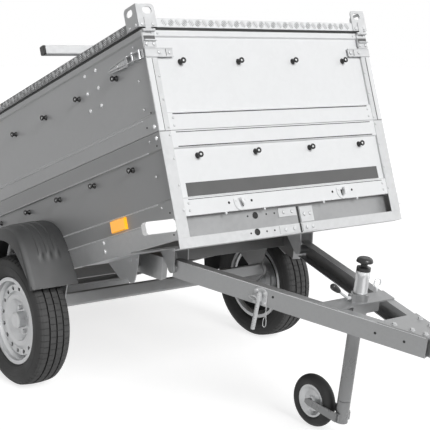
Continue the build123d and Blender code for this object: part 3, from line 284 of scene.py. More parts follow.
PLASTICS = {  # name: dark grey, light grey, roughness, grains per metre, their depth
    "seal_rubber": (grey(0.014), grey(0.024), 0.62, 900.0, 0.0002),
    "tyre_rubber": (grey(0.022), grey(0.034), 0.66, 700.0, 0.0002),
    "tread_rubber": (grey(0.045), grey(0.075), 0.8, 900.0, 0.0002),
    "guard_plastic": (grey(0.030, 0.02), grey(0.038, 0.02), 0.50, 500.0, 0.0004),
    "black_plastic": (grey(0.012), grey(0.020), 0.34, 900.0, 0.0002),
    "knob_black": (grey(0.010), grey(0.018), 0.30, 900.0, 0.0002),
    # hole_black: black rubber of the grommets, and painted shade inside holes and gaps
    "hole_black": (grey(0.004), grey(0.008), 0.6, 900.0, 0.0002),
    # seam_grey: dark seams by the covers, and painted shadow lines under the front wall's beads
    "seam_grey": (grey(0.035), grey(0.05), 0.6, 900.0, 0.0002),
    # band_grey: the front wall's grey band and the straps' edge lines, and painted shade in the hinges' throats
    "band_grey": (grey(0.085), grey(0.095), 0.42, 1500.0, 0.00003),
}
LENSES = {  # name: colour, roughness, prisms per metre, glow of painted light
    "reflector_amber": ((1.0, 0.43, 0.0), 0.35, 260.0, 0.7),
    "lamp_white": ((0.86, 0.86, 0.86), 0.15, 180.0, 0.25),
    "lamp_red": ((0.55, 0.01, 0.01), 0.2, 180.0, 0.0),
}
MATERIALS = {"floor_ply": plywood("floor_ply")}
for maker, kinds in ((zinc, ZINCS), (plastic, PLASTICS), (lens, LENSES)):
    for name, values in kinds.items():
        MATERIALS[name] = maker(name, *values)
for entry in frame["record"]["subparts"]:
    mesh = nodes[entry["node"]].data
    mesh.materials.clear()
    mesh.materials.append(MATERIALS[entry["material_slot"]])
NODE_FINISHES = (  # nodes that look otherwise than the rest of their slot: painted shade on the side walls, the frame under the body and the jockey tube
    ("upper_side_zinc", ("left_upper_side", "right_upper_side")),
    ("lower_side_zinc", ("left_lower_side", "right_lower_side")),
    ("aged_zinc", ("front_rail", "rear_rail", "middle_beams", "swing_arms")),
    ("arm_zinc", ("axle_tube", "left_arm", "right_arm", "cross_plate", "nose_plate")),
    ("tube_zinc", ("jockey_tube", "jockey_fork")),
)
for finish, names in NODE_FINISHES:
    for name in names:
        nodes[name].data.materials[0] = MATERIALS[finish]


# ---- Helpers for the added pieces
def piece(name, verts, faces, material, body, slot, place, smooth_under=0):
    """A mesh piece on a body, its material given by name; edges under smooth_under degrees look smooth."""
    mesh = bpy.data.meshes.new(name)
    mesh.from_pydata([tuple(v) for v in verts], [], faces)
    mesh.transform(place)
    if smooth_under:
        mesh.polygons.foreach_set("use_smooth", [True] * len(mesh.polygons))
        mesh.set_sharp_from_angle(angle=radians(smooth_under))
    mesh.materials.append(MATERIALS[material])
    made = in_scene(name, mesh)
    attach(made, body)
    return made


def cap(first, count):
    """One face over a ring of count points."""
    return tuple(range(first, first + count))


def between(low, high, count):
    """Faces between two rings of count points, each ring given by the number of its first point."""
    nexts = [(i + 1) % count for i in range(count)]
    return [(low + i, low + n, high + n, high + i) for i, n in enumerate(nexts)]


CORNER_SLANT = 1.4  # how much further a bevelled corner moves than its sides


class Shape:
    """Vertices and faces of one piece, added part by part."""

    def __init__(self):
        self.verts, self.faces = [], []

    def add(self, verts, faces):
        """Adds vertices with the faces between them."""
        shift = len(self.verts)
        self.verts += [Vector(v) for v in verts]
        self.faces += [tuple(i + shift for i in face) for face in faces]

    def slab(self, outline, origin, u, v, depth, bevel=0.0006):
        """An outline (u, v) raised by depth along u x v, its far edge bevelled towards the middle."""
        origin = Vector(origin)
        up = u.cross(v)
        count = len(outline)
        mid_u = sum(q[0] for q in outline) / count
        mid_v = sum(q[1] for q in outline) / count
        rings = [(0.0, 0.0), (depth - bevel, 0.0), (depth, bevel)]
        verts = []
        for height, inset in rings:
            for a, b in outline:
                inward = Vector((mid_u - a, mid_v - b))
                step = Vector((0, 0))
                if inset:
                    step = inward.normalized() * min(inset * CORNER_SLANT, inward.length / 2)
                verts.append(origin + u * (a + step.x) + v * (b + step.y) + up * height)
        faces = [cap(0, count)[::-1], cap(2 * count, count)]
        faces += between(0, count, count) + between(count, 2 * count, count)
        self.add(verts, faces)

    def plate(self, outline, x, depth, bevel=0.0006):
        """A slab with an outline (y, z) on a face at x, towards the front."""
        self.slab(outline, (x, 0, 0), Y, Z, depth, bevel)

    def rod(self, path, radius, sides=10, closed=False):
        """A round rod along a path of points, radius as one number or one per point."""
        path = [Vector(q) for q in path]
        count = len(path)
        radii = radius if isinstance(radius, (list, tuple)) else [radius] * count
        side = None
        verts, faces = [], []
        for k, point in enumerate(path):
            ahead = path[(k + 1) % count] if closed or k < count - 1 else point
            behind = path[k - 1] if closed or k > 0 else point
            way = (ahead - behind).normalized()
            side = way.orthogonal() if side is None else side - way * side.dot(way)
            side.normalize()
            other = way.cross(side)
            for i in range(sides):
                angle = 2 * pi * i / sides
                verts.append(point + (side * cos(angle) + other * sin(angle)) * radii[k])
        for k in range(count if closed else count - 1):
            faces += between(k * sides, (k + 1) % count * sides, sides)
        if not closed:
            faces += [cap(0, sides)[::-1], cap((count - 1) * sides, sides)]
        self.add(verts, faces)

    def heads(self, points, normal, kind):
        """Small turned heads at points; kind is (sides, rings of (radius, height along the normal))."""
        sides, profile = kind
        normal = normal.normalized()
        across = normal.orthogonal().normalized()
        beside = normal.cross(across)
        for point in points:
            verts, faces = [], []
            for radius, height in profile:
                for i in range(sides):
                    angle = 2 * pi * i / sides
                    offset = across * cos(angle) * radius + beside * sin(angle) * radius
                    verts.append(Vector(point) + offset + normal * height)
            for ring in range(len(profile) - 1):
                faces += between(ring * sides, (ring + 1) * sides, sides)
            faces += [cap((len(profile) - 1) * sides, sides), cap(0, sides)[::-1]]
            self.add(verts, faces)

    def mirrored(self, origin=0, axis=1):
        """Adds the mirror image across an axis (0, 1 or 2), in the plane at origin."""
        verts = []
        for v in self.verts:
            copy = v.copy()
            copy[axis] = 2 * origin - copy[axis]
            verts.append(copy)
        self.add(verts, [tuple(reversed(face)) for face in self.faces])

    def done(self, name, slot="zinc_frame", material=None, body="bed", place=BED, smooth=35):
        """Makes the piece, in its slot's material if none is given; smooth is its angle for smooth edges."""
        return piece(name, self.verts, self.faces, material or slot, body, slot, place, smooth)


def arc(centre, radius, start, end, steps):
    """Points of an arc in a plane, angles in degrees."""
    turns = [radians(start + (end - start) * k / steps) for k in range(steps + 1)]
    return [(centre[0] + radius * cos(t), centre[1] + radius * sin(t)) for t in turns]


def rectangle(low_u, low_v, high_u, high_v):
    """The corners of a rectangle between two opposite ones."""
    return [(low_u, low_v), (high_u, low_v), (high_u, high_v), (low_u, high_v)]


def circle(centre, u, v, radius_u, radius_v, steps):
    """Points of a ring in space round a centre, along the directions u and v."""
    turns = [2 * pi * k / steps for k in range(steps)]
    return [centre + u * radius_u * cos(t) + v * radius_v * sin(t) for t in turns]


# Heads of fasteners and holes, as (sides, rings of (radius, height))
RIVET = (14, [(0.0052, -0.0005), (0.0052, 0.0006), (0.004, 0.0022), (0.0018, 0.0031)])
WASHER = (18, [(0.0105, -0.0005), (0.0105, 0.0014), (0.010, 0.0018), (0.006, 0.0018)])
HEX_HEAD = (6, [(0.0075, 0.0012), (0.0075, 0.006), (0.0068, 0.0068), (0.004, 0.007)])
SCREW_RINGS = [(0.0078, -0.0005), (0.0078, 0.0008), (0.0066, 0.0034), (0.0036, 0.0046)]
SCREW = (16, SCREW_RINGS)
LATCH_SCREW = (14, SCREW_RINGS)
HOLE = (14, [(0.0036, -0.0004), (0.0036, 0.0004), (0.003, 0.0006)])
BIG_HOLE_RINGS = [(0.0048, -0.0004), (0.0048, 0.0004), (0.0042, 0.0006)]
LUG_HOLE = (16, BIG_HOLE_RINGS)
ARM_HOLE = (14, BIG_HOLE_RINGS)
GROMMET = (24, [(0.0125, -0.0004), (0.0125, 0.0016), (0.0105, 0.0024), (0.0085, 0.001)])


# ---- Lid: chequer plate, raised lozenges on the top and the skirt
CELL = 0.0305  # one group of parallel bars
BARS = 4
BAR_LENGTH = 0.028
BAR_PITCH = 0.0066
BAR_WIDTH = 0.0036
BAR_RISE = 0.0023
BAR_ROOT = -0.2  # how deep a bar starts, as a share of its rise
BAR_TOP = 0.72  # its top's width as a share of its foot's
BAR_TAPER = 0.4  # how much shorter bars get off the middle
EDGE_CLEAR = 0.001


def raised_bar(offset, turn):
    """One pointed bar of a group, beside its middle by offset, as (u, v, height share) points."""
    half = BAR_LENGTH / 2 - abs(offset) * BAR_TAPER
    wide = BAR_WIDTH / 2
    ring = [(-half, 0), (0, -wide), (half, 0), (0, wide)]
    points = []
    for shrink, height in ((1.0, BAR_ROOT), (BAR_TOP, 1.0)):
        for u, v in ring:
            u = u * (1 + shrink) / 2
            v = v * shrink + offset
            points.append((u * cos(turn) - v * sin(turn), u * sin(turn) + v * cos(turn), height))
    return points


def chequer(name, origin, along, across, length, width, skip=None, share=(0.0, 1.0), look="lid_bars"):
    """Groups of raised bars over a rectangle from origin; share limits it to a part of its length."""
    normal = along.cross(across)
    offsets = [(k - (BARS - 1) / 2) * BAR_PITCH for k in range(BARS)]
    groups = [[raised_bar(offset, turn) for offset in offsets] for turn in (pi / 4, -pi / 4)]
    columns = int((length - 2 * EDGE_CLEAR) / CELL)
    rows = max(1, int((width - 2 * EDGE_CLEAR) / CELL))
    u_start = (length - (columns - 1) * CELL) / 2
    v_start = (width - (rows - 1) * CELL) / 2
    verts, faces = [], []
    for i in range(round(columns * share[0]), round(columns * share[1])):
        for j in range(rows):
            u0 = u_start + i * CELL
            v0 = v_start + j * CELL
            if skip and skip(u0, v0):
                continue
            for bar in groups[(i + j) % 2]:
                base = len(verts)
                for u, v, h in bar:
                    verts.append(origin + along * (u0 + u) + across * (v0 + v) + normal * h * BAR_RISE)
                faces += between(base, base + 4, 4)
                faces += [cap(base + 4, 4), cap(base, 4)[::-1]]
    piece(name, verts, faces, look, "lid", "lid_plate", BED)


LID_LENGTH = BED_LENGTH + 2 * LID_OVERHANG
LID_WIDTH = 2 * (HALF + LID_OVERHANG)
SKIRT = LID_TOP - LID_BASE
CORNER_CLEAR = 0.078
LIP_INSET = 0.002
LIP_FOOT = LID_BASE + 0.001
FILM = 0.0001  # how far a thin strip sinks into the sheet under it, and its bevel
LIP_THICK = 0.0006
lid_rear = LID_OVERHANG - LID_LENGTH
foot_columns = (BAR_INSET - lid_rear - BED_LENGTH, -BAR_INSET - lid_rear)


def under_foot(u, v):
    """True where a roof bar's foot stands on the lid."""
    beside = abs(abs(v - LID_WIDTH / 2) - BAR_FOOT_Y) < BAR_FOOT_CLEAR
    return beside and any(abs(u - column) < FOOT_CLEAR_LONG for column in foot_columns)


# The lid's folded edges: darker between the bars along the sides, as painted shade, and pale in front, as painted
# light
side_lips = Shape()
lip = rectangle(lid_rear + LIP_INSET, LIP_FOOT, lid_rear + LID_LENGTH - LIP_INSET, LID_TOP - LIP_INSET)
side_lips.slab(lip, (0, FILM - LID_WIDTH / 2, 0), X, Z, LIP_THICK, FILM)
side_lips.mirrored()
side_lips.done("lid_side_lips", "lid_plate", "lip_zinc", body="lid")
front_lip = Shape()
lip_half = LID_WIDTH / 2 - LIP_INSET
lip = rectangle(-lip_half, LIP_FOOT, lip_half, LID_TOP - 0.001)
front_lip.plate(lip, LID_OVERHANG - FILM, LIP_THICK, FILM)
front_lip.done("lid_front_lip", "lid_plate", "zinc_wall", body="lid")

top_start = Vector((lid_rear, -LID_WIDTH / 2, LID_TOP))
front_start = Vector((LID_OVERHANG, CORNER_CLEAR - LID_WIDTH / 2, LID_BASE))
right_start = Vector((lid_rear + CORNER_CLEAR, -LID_WIDTH / 2, LID_BASE))
left_start = Vector((LID_OVERHANG - CORNER_CLEAR, LID_WIDTH / 2, LID_BASE))
skirt_width = LID_WIDTH - 2 * CORNER_CLEAR
skirt_length = LID_LENGTH - 2 * CORNER_CLEAR
# Top and side bars in pale zinc as painted highlight; front bars darker as painted shade
chequer("lid_chequer_top_rear", top_start, X, Y, LID_LENGTH, LID_WIDTH, under_foot, (0.0, 0.5))
chequer("lid_chequer_top_front", top_start, X, Y, LID_LENGTH, LID_WIDTH, under_foot, (0.5, 1.0))
chequer("lid_chequer_front", front_start, Y, Z, skirt_width, SKIRT, look="front_bars")
chequer("lid_chequer_right", right_start, X, Z, skirt_length, SKIRT)
chequer("lid_chequer_left", left_start, -X, Z, skirt_length, SKIRT)


# ---- Walls: the front's dark band, seams, painted shadow lines, rivets, screws, latches, hooks and brackets
BAND_LOW = 0.0675
BAND_HIGH = 0.1165
BAND_HALF = 0.482
BAND_FRONT = -PRESS + 0.0004
BAND_BACK = -PRESS - 0.0005
band_outline = rectangle(-BAND_HALF, BAND_LOW, BAND_HALF, BAND_HIGH)
band_verts = [(x, y, z) for x in (BAND_FRONT, BAND_BACK) for y, z in band_outline]
band_faces = [(0, 1, 2, 3), (7, 6, 5, 4), (0, 4, 5, 1), (1, 5, 6, 2), (2, 6, 7, 3), (3, 7, 4, 0)]
piece("front_band", band_verts, band_faces, "band_grey", "bed", "zinc_wall", BED)

POST_LOW_RIVETS = (0.022, 0.110, 0.203, 0.288)
POST_HIGH_RIVETS = (0.316, 0.416, 0.500, 0.645)
front = Shape()
front.heads([(POST_PLATE, -0.517, z) for z in POST_LOW_RIVETS], X, RIVET)
front.heads([(POST_PLATE, -0.516, z) for z in POST_HIGH_RIVETS], X, RIVET)
front.heads([(0, -0.489, z) for z in (0.018, 0.044, 0.322, 0.350, 0.656)], X, RIVET)
front.mirrored()
front.done("front_wall_rivets", smooth=50)

# The upper post's cover strip on each front corner, the seam beside and under it, and dark strips under the wall's
# pressed beads: painted shadow lines
COVER_EDGE = -0.5585
COVER_LOW = 0.305
COVER_HIGH = 0.566
SEAM_HALF = 0.488
BEAD_SHADOWS = ((0.366, 0.0042), (0.2995, 0.003), (0.248, 0.0038), (0.058, 0.0024))  # top, height
cover = Shape()
cover.plate(rectangle(COVER_EDGE, COVER_LOW, -0.536, COVER_HIGH), POST_PLATE, 0.0014)
cover.mirrored()
cover.done("post_covers", "zinc_wall")
seam_and_shadow_strips = Shape()
seam_and_shadow_strips.plate(rectangle(-0.536, COVER_LOW, -0.533, COVER_HIGH), POST_PLATE, 0.0004, FILM)
seam_and_shadow_strips.plate(rectangle(COVER_EDGE, 0.3022, -0.511, 0.3044), POST_PLATE, 0.0004, FILM)
seam_and_shadow_strips.mirrored()
# Painted shadow lines under the front wall's pressed beads
for z, height in BEAD_SHADOWS:
    seam_and_shadow_strips.plate(rectangle(-SEAM_HALF, z - height, SEAM_HALF, z), -0.0004, 0.0007, FILM)
seam_and_shadow_strips.done("front_seam_and_shadow_lines", "zinc_wall", "seam_grey")

# Bright strips along the edges of the pressed beads on the side walls: painted highlights
BEAD_ENDS = (-0.082, -0.085, 0.085 - BED_LENGTH, 0.082 - BED_LENGTH)
BEAD_RADII = [0.0006, 0.0027, 0.0027, 0.0006]
beads = Shape()
for z in (0.360, 0.244, 0.060, 0.002):
    line = [(x, y, z) for x, y in zip(BEAD_ENDS, (-HALF, -HALF - 0.0002, -HALF - 0.0002, -HALF))]
    beads.rod(line, BEAD_RADII, 8)
beads.mirrored()
beads.done("side_bead_glints", "zinc_wall", "crease_zinc")

# Side walls: rivets, screws and holes near the posts, and the bolts of the lid struts' brackets
SIDE_RIVETS = (0.624, 0.501, 0.397, 0.281, 0.156, 0.045)
STRUT_COLUMNS = (-0.416, -0.335)
STRUT_ROWS = (0.488, 0.556, 0.624)
side_rivets = Shape()
for x in (-0.066, -BED_LENGTH + 0.066):
    side_rivets.heads([(x, -HALF, z) for z in SIDE_RIVETS], RIGHT, RIVET)
side_screws = Shape()
for x in (-0.021, -BED_LENGTH + 0.021):
    side_screws.heads([(x, -HALF, z) for z in (0.325, 0.284)], RIGHT, SCREW)
side_screws.heads([(x, PRESS - HALF, z) for x in STRUT_COLUMNS for z in STRUT_ROWS], RIGHT, SCREW)
side_screws.heads([(-0.475, -HALF, z) for z in (-0.012, -0.045)], RIGHT, SCREW)
side_holes = Shape()
for x, rows in ((-0.026, (0.376, 0.258)), (-0.065, (0.332,)), (-0.021, (0.020, -0.057))):
    side_holes.heads([(x, -HALF, z) for z in rows], RIGHT, HOLE)
for shape, name, finish in (
    (side_rivets, "side_rivets", "zinc_frame"),
    (side_screws, "side_screws", "bright_steel"),
    (side_holes, "side_holes", "hole_black"),
):
    shape.mirrored()
    shape.done(name, material=finish, smooth=50)

# Front straps: their stepped ends and screws
STRAP_END = -0.440
STRAP_THICK = 0.0034
strap = Shape()
strap.plate(rectangle(-0.470, 0.5695, STRAP_END, 0.6005), 0, STRAP_THICK)
strap.plate(rectangle(COVER_EDGE, 0.5975, STRAP_END, 0.6015), 0, 0.0066)
strap.plate(rectangle(COVER_EDGE, 0.5685, STRAP_END, 0.5715), 0, 0.0066)
strap.heads([(0.005, -0.500, 0.585), (STRAP_THICK, -0.454, 0.585)], X, SCREW)
strap.mirrored()
strap.done("strap_ends")
strap_edge = Shape()
strap_edge.plate(rectangle(-0.4725, 0.571, -0.4702, 0.598), 0, 0.0056, FILM)
strap_edge.mirrored()
strap_edge.done("strap_edges", "black_plastic", "band_grey")

# Lid hinges: screws of the leaves, and the dark throat under the knuckle, painted shade; screws of the lid's
# corners
HINGE_MIDDLE = -0.532
LEAF_THICK = 0.005
LID_SCREW_Z = LID_BASE + 0.010
hinge = Shape()
hinge.heads([(LEAF_THICK, HINGE_MIDDLE + dy, 0.616) for dy in (-0.016, 0.016)], X, SCREW)
hinge.plate(rectangle(-0.557, 0.6255, -0.507, 0.630), 0.004, 0.010)
hinge.mirrored()
hinge.done("hinge_screws")
throat = Shape()
throat.plate(rectangle(-0.556, 0.632, -0.508, 0.645), 0.0049, 0.0012, 0.0002)
throat.mirrored()
throat.done("hinge_throats", "black_plastic", "band_grey")
lid_screws = Shape()
lid_screws.heads([(0.0085, y, LID_SCREW_Z) for y in (-0.553, -0.507)], X, SCREW)
lid_screws.heads([(x, -0.5685, LID_SCREW_Z) for x in (-0.012, -0.052)], RIGHT, SCREW)
lid_screws.mirrored()
lid_screws.done("lid_corner_screws", body="lid")

# Over-centre latches on the side walls, at all four corners
LATCH_Z = 0.585
MIDDLE_X = -BED_LENGTH / 2
CHEEK = [  # x and y off the wall's face
    (-0.008, 0.004), (-0.020, -0.012), (-0.056, -0.0195),
    (-0.090, -0.017), (-0.122, -0.006), (-0.122, 0.004),
]
BLADE = [
    (-0.100, 0.568), (-0.100, 0.602), (-0.150, 0.600),
    (-0.205, 0.595), (-0.231, 0.591), (-0.236, 0.585),
    (-0.231, 0.579), (-0.205, 0.575), (-0.150, 0.570),
]
BLADE_EDGE = [  # x, y off the wall's face, z off the latch's middle
    (-0.100, -0.006, 0.0155), (-0.150, -0.0065, 0.0145),
    (-0.205, -0.0065, 0.0095), (-0.230, -0.006, 0.005),
]
CHEEK_THICK = 0.003
BLADE_THICK = 0.004
latch = Shape()
latch.slab(rectangle(-0.125, 0.569, -0.006, 0.601), (0, PRESS - HALF, 0), X, Z, 0.010, 0.001)
for z in (0.5715, 0.5965):
    cheek = [(x, y - HALF) for x, y in CHEEK]
    latch.slab(cheek, (0, 0, z - CHEEK_THICK / 2), X, Y, CHEEK_THICK, 0.0005)
for x, depth in ((-0.022, 0.0115), (-0.058, 0.018), (-0.098, 0.0135)):
    latch.rod([(x, -HALF - depth + 0.003, z) for z in (0.568, 0.602)], 0.0045, 12)
latch.slab(BLADE, (0, -HALF - 0.001, 0), X, Z, BLADE_THICK, 0.001)
ridge = [(x * 0.94 - 0.011, (z - LATCH_Z) * 0.45 + LATCH_Z) for x, z in BLADE]  # shorter and narrower
latch.slab(ridge, (0, -HALF - 0.0048, 0), X, Z, BLADE_THICK, 0.0015)
for sign in (-1, 1):
    latch.rod([(x, y - HALF, LATCH_Z + sign * dz) for x, y, dz in BLADE_EDGE], 0.0022, 8)
latch.heads([(-0.112, -HALF - 0.005, z) for z in (0.577, 0.593)], RIGHT, RIVET)
latch.heads([(-0.170, -HALF - 0.008, LATCH_Z)], RIGHT, SCREW)
latch.mirrored()
latch.mirrored(MIDDLE_X, 0)
latches = latch.done("over_centre_latches", material="coupling_steel")
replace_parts(latches, "corner_latches")

# Lugs on the front's lower edge: a half-round plate with a hook, between two holes
LUG_Y = -0.258
LUG_RADIUS = 0.031
TONGUE = [(0.003, -0.004, 0.040), (0.014, -0.002, 0.036), (0.018, 0.0, 0.026), (0.016, 0.003, 0.014)]
SHADOW = [(0.004, 0.036), (0.013, 0.036), (0.010, 0.014), (0.005, 0.012)]
lug = Shape()
half_round = arc((LUG_Y, 0.030), LUG_RADIUS, 180, 360, 12)
half_round = [(LUG_Y - LUG_RADIUS, 0.043), *half_round, (LUG_Y + LUG_RADIUS, 0.043)]
lug.plate(half_round, -0.0005, 0.004, 0.001)
lug.rod([(x, LUG_Y + dy, z) for x, dy, z in TONGUE], [0.0065, 0.006, 0.0055, 0.004], 10)
lug.heads([(0.003, LUG_Y + dy, 0.036) for dy in (-0.022, 0.022)], X, RIVET)
lug.mirrored()
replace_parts(lug.done("front_hooks", material="zinc_wall"), "front_lugs")
lug_holes = Shape()
lug_holes.heads([(0, LUG_Y + dy, 0.031) for dy in (-0.053, 0.053)], X, LUG_HOLE)
lug_holes.plate([(LUG_Y + dy, z) for dy, z in SHADOW], 0.0034, 0.0006, FILM)
lug_holes.mirrored()
lug_holes.done("front_hook_holes", "black_plastic", "hole_black")

# Front rail and beam: grommets, holes, painted shade in the gaps between the joint brackets, joint brackets and
# bolts
RAIL_HOLE_Z = -0.022
BEAM_HOLE_Z = -0.088
front_hole_and_gap_shade = Shape()
front_hole_and_gap_shade.heads([(RAIL_FACE, -0.176, RAIL_HOLE_Z), (0, -0.206, -0.086)], X, GROMMET)
front_hole_and_gap_shade.heads([(RAIL_FACE, y, RAIL_HOLE_Z) for y in (-0.122, -0.082, -0.212)], X, HOLE)
front_hole_and_gap_shade.heads([(0, y, BEAM_HOLE_Z) for y in (-0.160, -0.122, -0.236)], X, HOLE)
# Dark strips in the gaps between the joint brackets: painted shade
front_hole_and_gap_shade.plate(rectangle(0.030, -0.072, 0.040, -0.006), RAIL_FACE, 0.0006, FILM)
front_hole_and_gap_shade.plate(rectangle(0.004, -0.109, 0.013, -0.074), 0, 0.0006, FILM)
front_hole_and_gap_shade.done("front_rail_hole_and_gap_shade", "black_plastic", "hole_black")
BRACKETS = (  # low y, high y, low z, high z, face x
    (-0.064, 0.026, -0.040, -0.006, RAIL_FACE),
    (-0.098, -0.002, -0.106, -0.076, 0),
    (0.044, 0.110, -0.068, -0.008, RAIL_FACE),
    (0.017, 0.086, -0.106, -0.076, 0),
)
BRACKET_THICK = 0.003
brackets = Shape()
for low_y, high_y, low_z, high_z, face_x in BRACKETS:
    brackets.plate(rectangle(low_y, low_z, high_y, high_z), face_x, BRACKET_THICK, 0.001)
    middle_z = (low_z + high_z) / 2
    for share in (0.3, 0.75):
        screw_y = low_y + (high_y - low_y) * share
        brackets.heads([(face_x + BRACKET_THICK, screw_y, middle_z)], X, SCREW)
brackets.heads([(0, y, -0.005) for y in (-0.332, -0.150, 0.150, 0.332)], X, RIVET)
brackets.done("front_rail_brackets")

# Folded brackets hung from the side rails, inboard of them, with their bolts, and a cross member behind
HANGER_Y = -0.450
WING_Y = HANGER_Y + 0.012
HANGER_TOP = -0.072
hanger = Shape()
wing = [(-0.660, HANGER_TOP), (-0.592, -0.149), (-0.548, -0.152), (-0.535, HANGER_TOP)]
hanger.slab(wing, (0, WING_Y, 0), X, Z, 0.003, 0.001)
foot_bend = arc((-0.492, -0.146), 0.032, 200, 330, 8)
plate = [(-0.410, HANGER_TOP), (-0.520, HANGER_TOP), (-0.530, -0.150), *foot_bend, (-0.440, -0.130)]
hanger.slab(plate[::-1], (0, HANGER_Y, 0), X, Z, 0.004, 0.001)
hanger.slab(rectangle(-0.665, -0.558, -0.408, WING_Y), (0, 0, -0.0765), X, Y, 0.0035, 0.001)
hanger.heads([(x, HANGER_Y - 0.004, -0.090) for x in (-0.475, -0.430)], RIGHT, SCREW)
hanger.mirrored()
hanger.done("rail_brackets", material="zinc_wall")
MEMBER_HALF = 0.430
angle_bar = [(-0.560, -0.079), (-0.510, -0.079), (-0.510, -0.118)]
angle_bar += [(-0.505, -0.118), (-0.505, -0.074), (-0.560, -0.074)]
# The cross member is in painted shade, dark like the rails.
member = Shape()
member.slab(angle_bar, (0, MEMBER_HALF, 0), X, Z, 2 * MEMBER_HALF, 0.001)
member.done("cross_member", material="aged_zinc")

# Studs for a cover's cord: a foot, a waisted neck and a dished head
STUD_ACROSS = (-0.407, -0.137, 0.137, 0.407)
STUD_ROWS = (0.211, 0.553)
STUD_END = 0.206
STUD_COUNT = 7
STUD_RINGS = [
    (0.011, 0.0), (0.011, 0.0022), (0.0098, 0.0042), (0.0072, 0.0078),
    (0.0066, 0.0115), (0.0078, 0.015), (0.0108, 0.0186), (0.0112, 0.0214),
    (0.0102, 0.0236), (0.0076, 0.024), (0.0052, 0.0228), (0.0044, 0.020),
]
STUD = (18, STUD_RINGS)
STUD_SCREW = (10, [(0.004, 0.0196), (0.004, 0.0212), (0.0026, 0.0222)])
stud_pitch = (BED_LENGTH - 2 * STUD_END) / (STUD_COUNT - 1)


def stud_set(name, body, rows, replaced):
    """Studs on walls, rows of (points, normal), in place of a CAD node, with the screws in them."""
    black, screws = Shape(), Shape()
    for points, normal in rows:
        black.heads(points, normal, STUD)
        screws.heads(points, normal, STUD_SCREW)
    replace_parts(black.done(name, "knob_black", body=body, smooth=40), replaced)
    screws.done(f"{name}_screws", material="bright_steel", body=body)


bed_rows = []
for z in STUD_ROWS:
    bed_rows.append(([(-PRESS, y, z) for y in STUD_ACROSS], X))
    for side in (-1, 1):
        along = [(-STUD_END - i * stud_pitch, side * (HALF - PRESS), z) for i in range(STUD_COUNT)]
        bed_rows.append((along, Y * side))
stud_set("cover_studs", "bed", bed_rows, "bed_studs")
for level, z in zip(("lower", "upper"), STUD_ROWS):
    gate_row = ([(PRESS - BED_LENGTH, y, z) for y in STUD_ACROSS], -X)
    stud_set(f"{level}_gate_cover_studs", f"{level}_gate", [gate_row], f"{level}_tailgate_studs")


# ---- Road tyres: side walls with moulded rings, and a tread of ribs cut into blocks
TREAD_BLOCKS = 64
STATIONS = (  # share of a block's turn, which ribs are cut there
    (0.0, 0), (0.03, 1), (0.10, 1), (0.13, 0),
    (0.5, 0), (0.53, 2), (0.60, 2), (0.63, 0),
)
SIDE_WALL = [  # radius, y; from the bead to the shoulder
    (BEAD_RADIUS, 0.051), (0.1832, 0.0512), (0.186, 0.057), (0.1905, 0.064),
    (0.1925, 0.0665), (0.195, 0.0668), (0.206, 0.0728), (0.218, 0.0748),
    (0.229, 0.0744), (0.230, 0.0752), (0.2325, 0.075), (0.2335, 0.0738),
    (0.245, 0.0715), (0.254, 0.0682),
]
GROOVE_LINES = (0.031, 0.0, -0.031)
GROOVE_HALF = 0.0036
GROOVE_DEPTH = 0.0085
GROOVE_SLOPE = 0.0006
SIPE_DEPTH = 0.004
CROWN_DROP = 0.0045
SHOULDER_Y = 0.056
SHOULDER_EDGE = SHOULDER_Y + 0.007
SHOULDER_DROP = 0.0052
RIB_SHARES = (0.7, 0.3)  # where a rib's face has points


def crown(y):
    """Radius of the tread at a distance from the tyre's middle."""
    return TYRE_RADIUS - CROWN_DROP * (y / SHOULDER_Y) ** 2


def tyre_outline():
    """Points (radius, y, rib) round the tyre's section; rib is 0 off the tread, else 1 or 2 by its sipes."""
    edges = [SHOULDER_EDGE]
    for line in GROOVE_LINES:
        edges += [line + GROOVE_HALF, line - GROOVE_HALF]
    edges.append(-SHOULDER_EDGE)
    points = [(r, y, 0) for r, y in SIDE_WALL]
    last = len(edges) - 2
    for k in range(0, len(edges), 2):
        high, low = edges[k], edges[k + 1]
        kind = 1 if k in (0, last) else 2
        points.append((crown(high) - (SHOULDER_DROP if k == 0 else 0), high, kind))
        for share in RIB_SHARES:
            y = high * share + low * (1 - share)
            points.append((crown(y), y, kind))
        points.append((crown(low) - (SHOULDER_DROP if k == last else 0), low, kind))
        if k < last:
            points.append((crown(low) - GROOVE_DEPTH, low - GROOVE_SLOPE, 0))
            points.append((crown(low) - GROOVE_DEPTH, edges[k + 2] + GROOVE_SLOPE, 0))
    points += [(r, -y, 0) for r, y in reversed(SIDE_WALL)]
    return points


def ring_faces(rings, count, side):
    """Faces round a wheel between rings of count points each, for the left (1) or right (-1) side."""
    faces = []
    for i in range(rings):
        a, b = i * count, (i + 1) % rings * count
        for k in range(count):
            n = (k + 1) % count
            faces.append((a + k, b + k, b + n, a + n)[::side])
    return faces


def road_tyre(side):
    """Vertices and faces of a tyre, and which of its section's points are on a rib."""
    outline = tyre_outline()
    verts = []
    for block in range(TREAD_BLOCKS):
        for share, cut in STATIONS:
            angle = 2 * pi * (block + share) / TREAD_BLOCKS
            for r, y, kind in outline:
                deep = SIPE_DEPTH if cut and kind == cut else 0
                verts.append(((r - deep) * cos(angle), y * side, (r - deep) * sin(angle)))
    faces = ring_faces(TREAD_BLOCKS * len(STATIONS), len(outline), side)
    return verts, faces, [kind > 0 for _, _, kind in outline]


SHADE_STEPS = 64
SHADE_RING = ((-0.045, 0.149), (-0.045, 0.1465), (0.016, 0.1375), (0.016, 0.140))  # y, radius


def rim_shade(side):
    """A dark ring inside a rim, seen through its holes."""
    verts = []
    for i in range(SHADE_STEPS):
        angle = 2 * pi * i / SHADE_STEPS
        verts += [(radius * cos(angle), y * side, radius * sin(angle)) for y, radius in SHADE_RING]
    return verts, ring_faces(SHADE_STEPS, len(SHADE_RING), side)


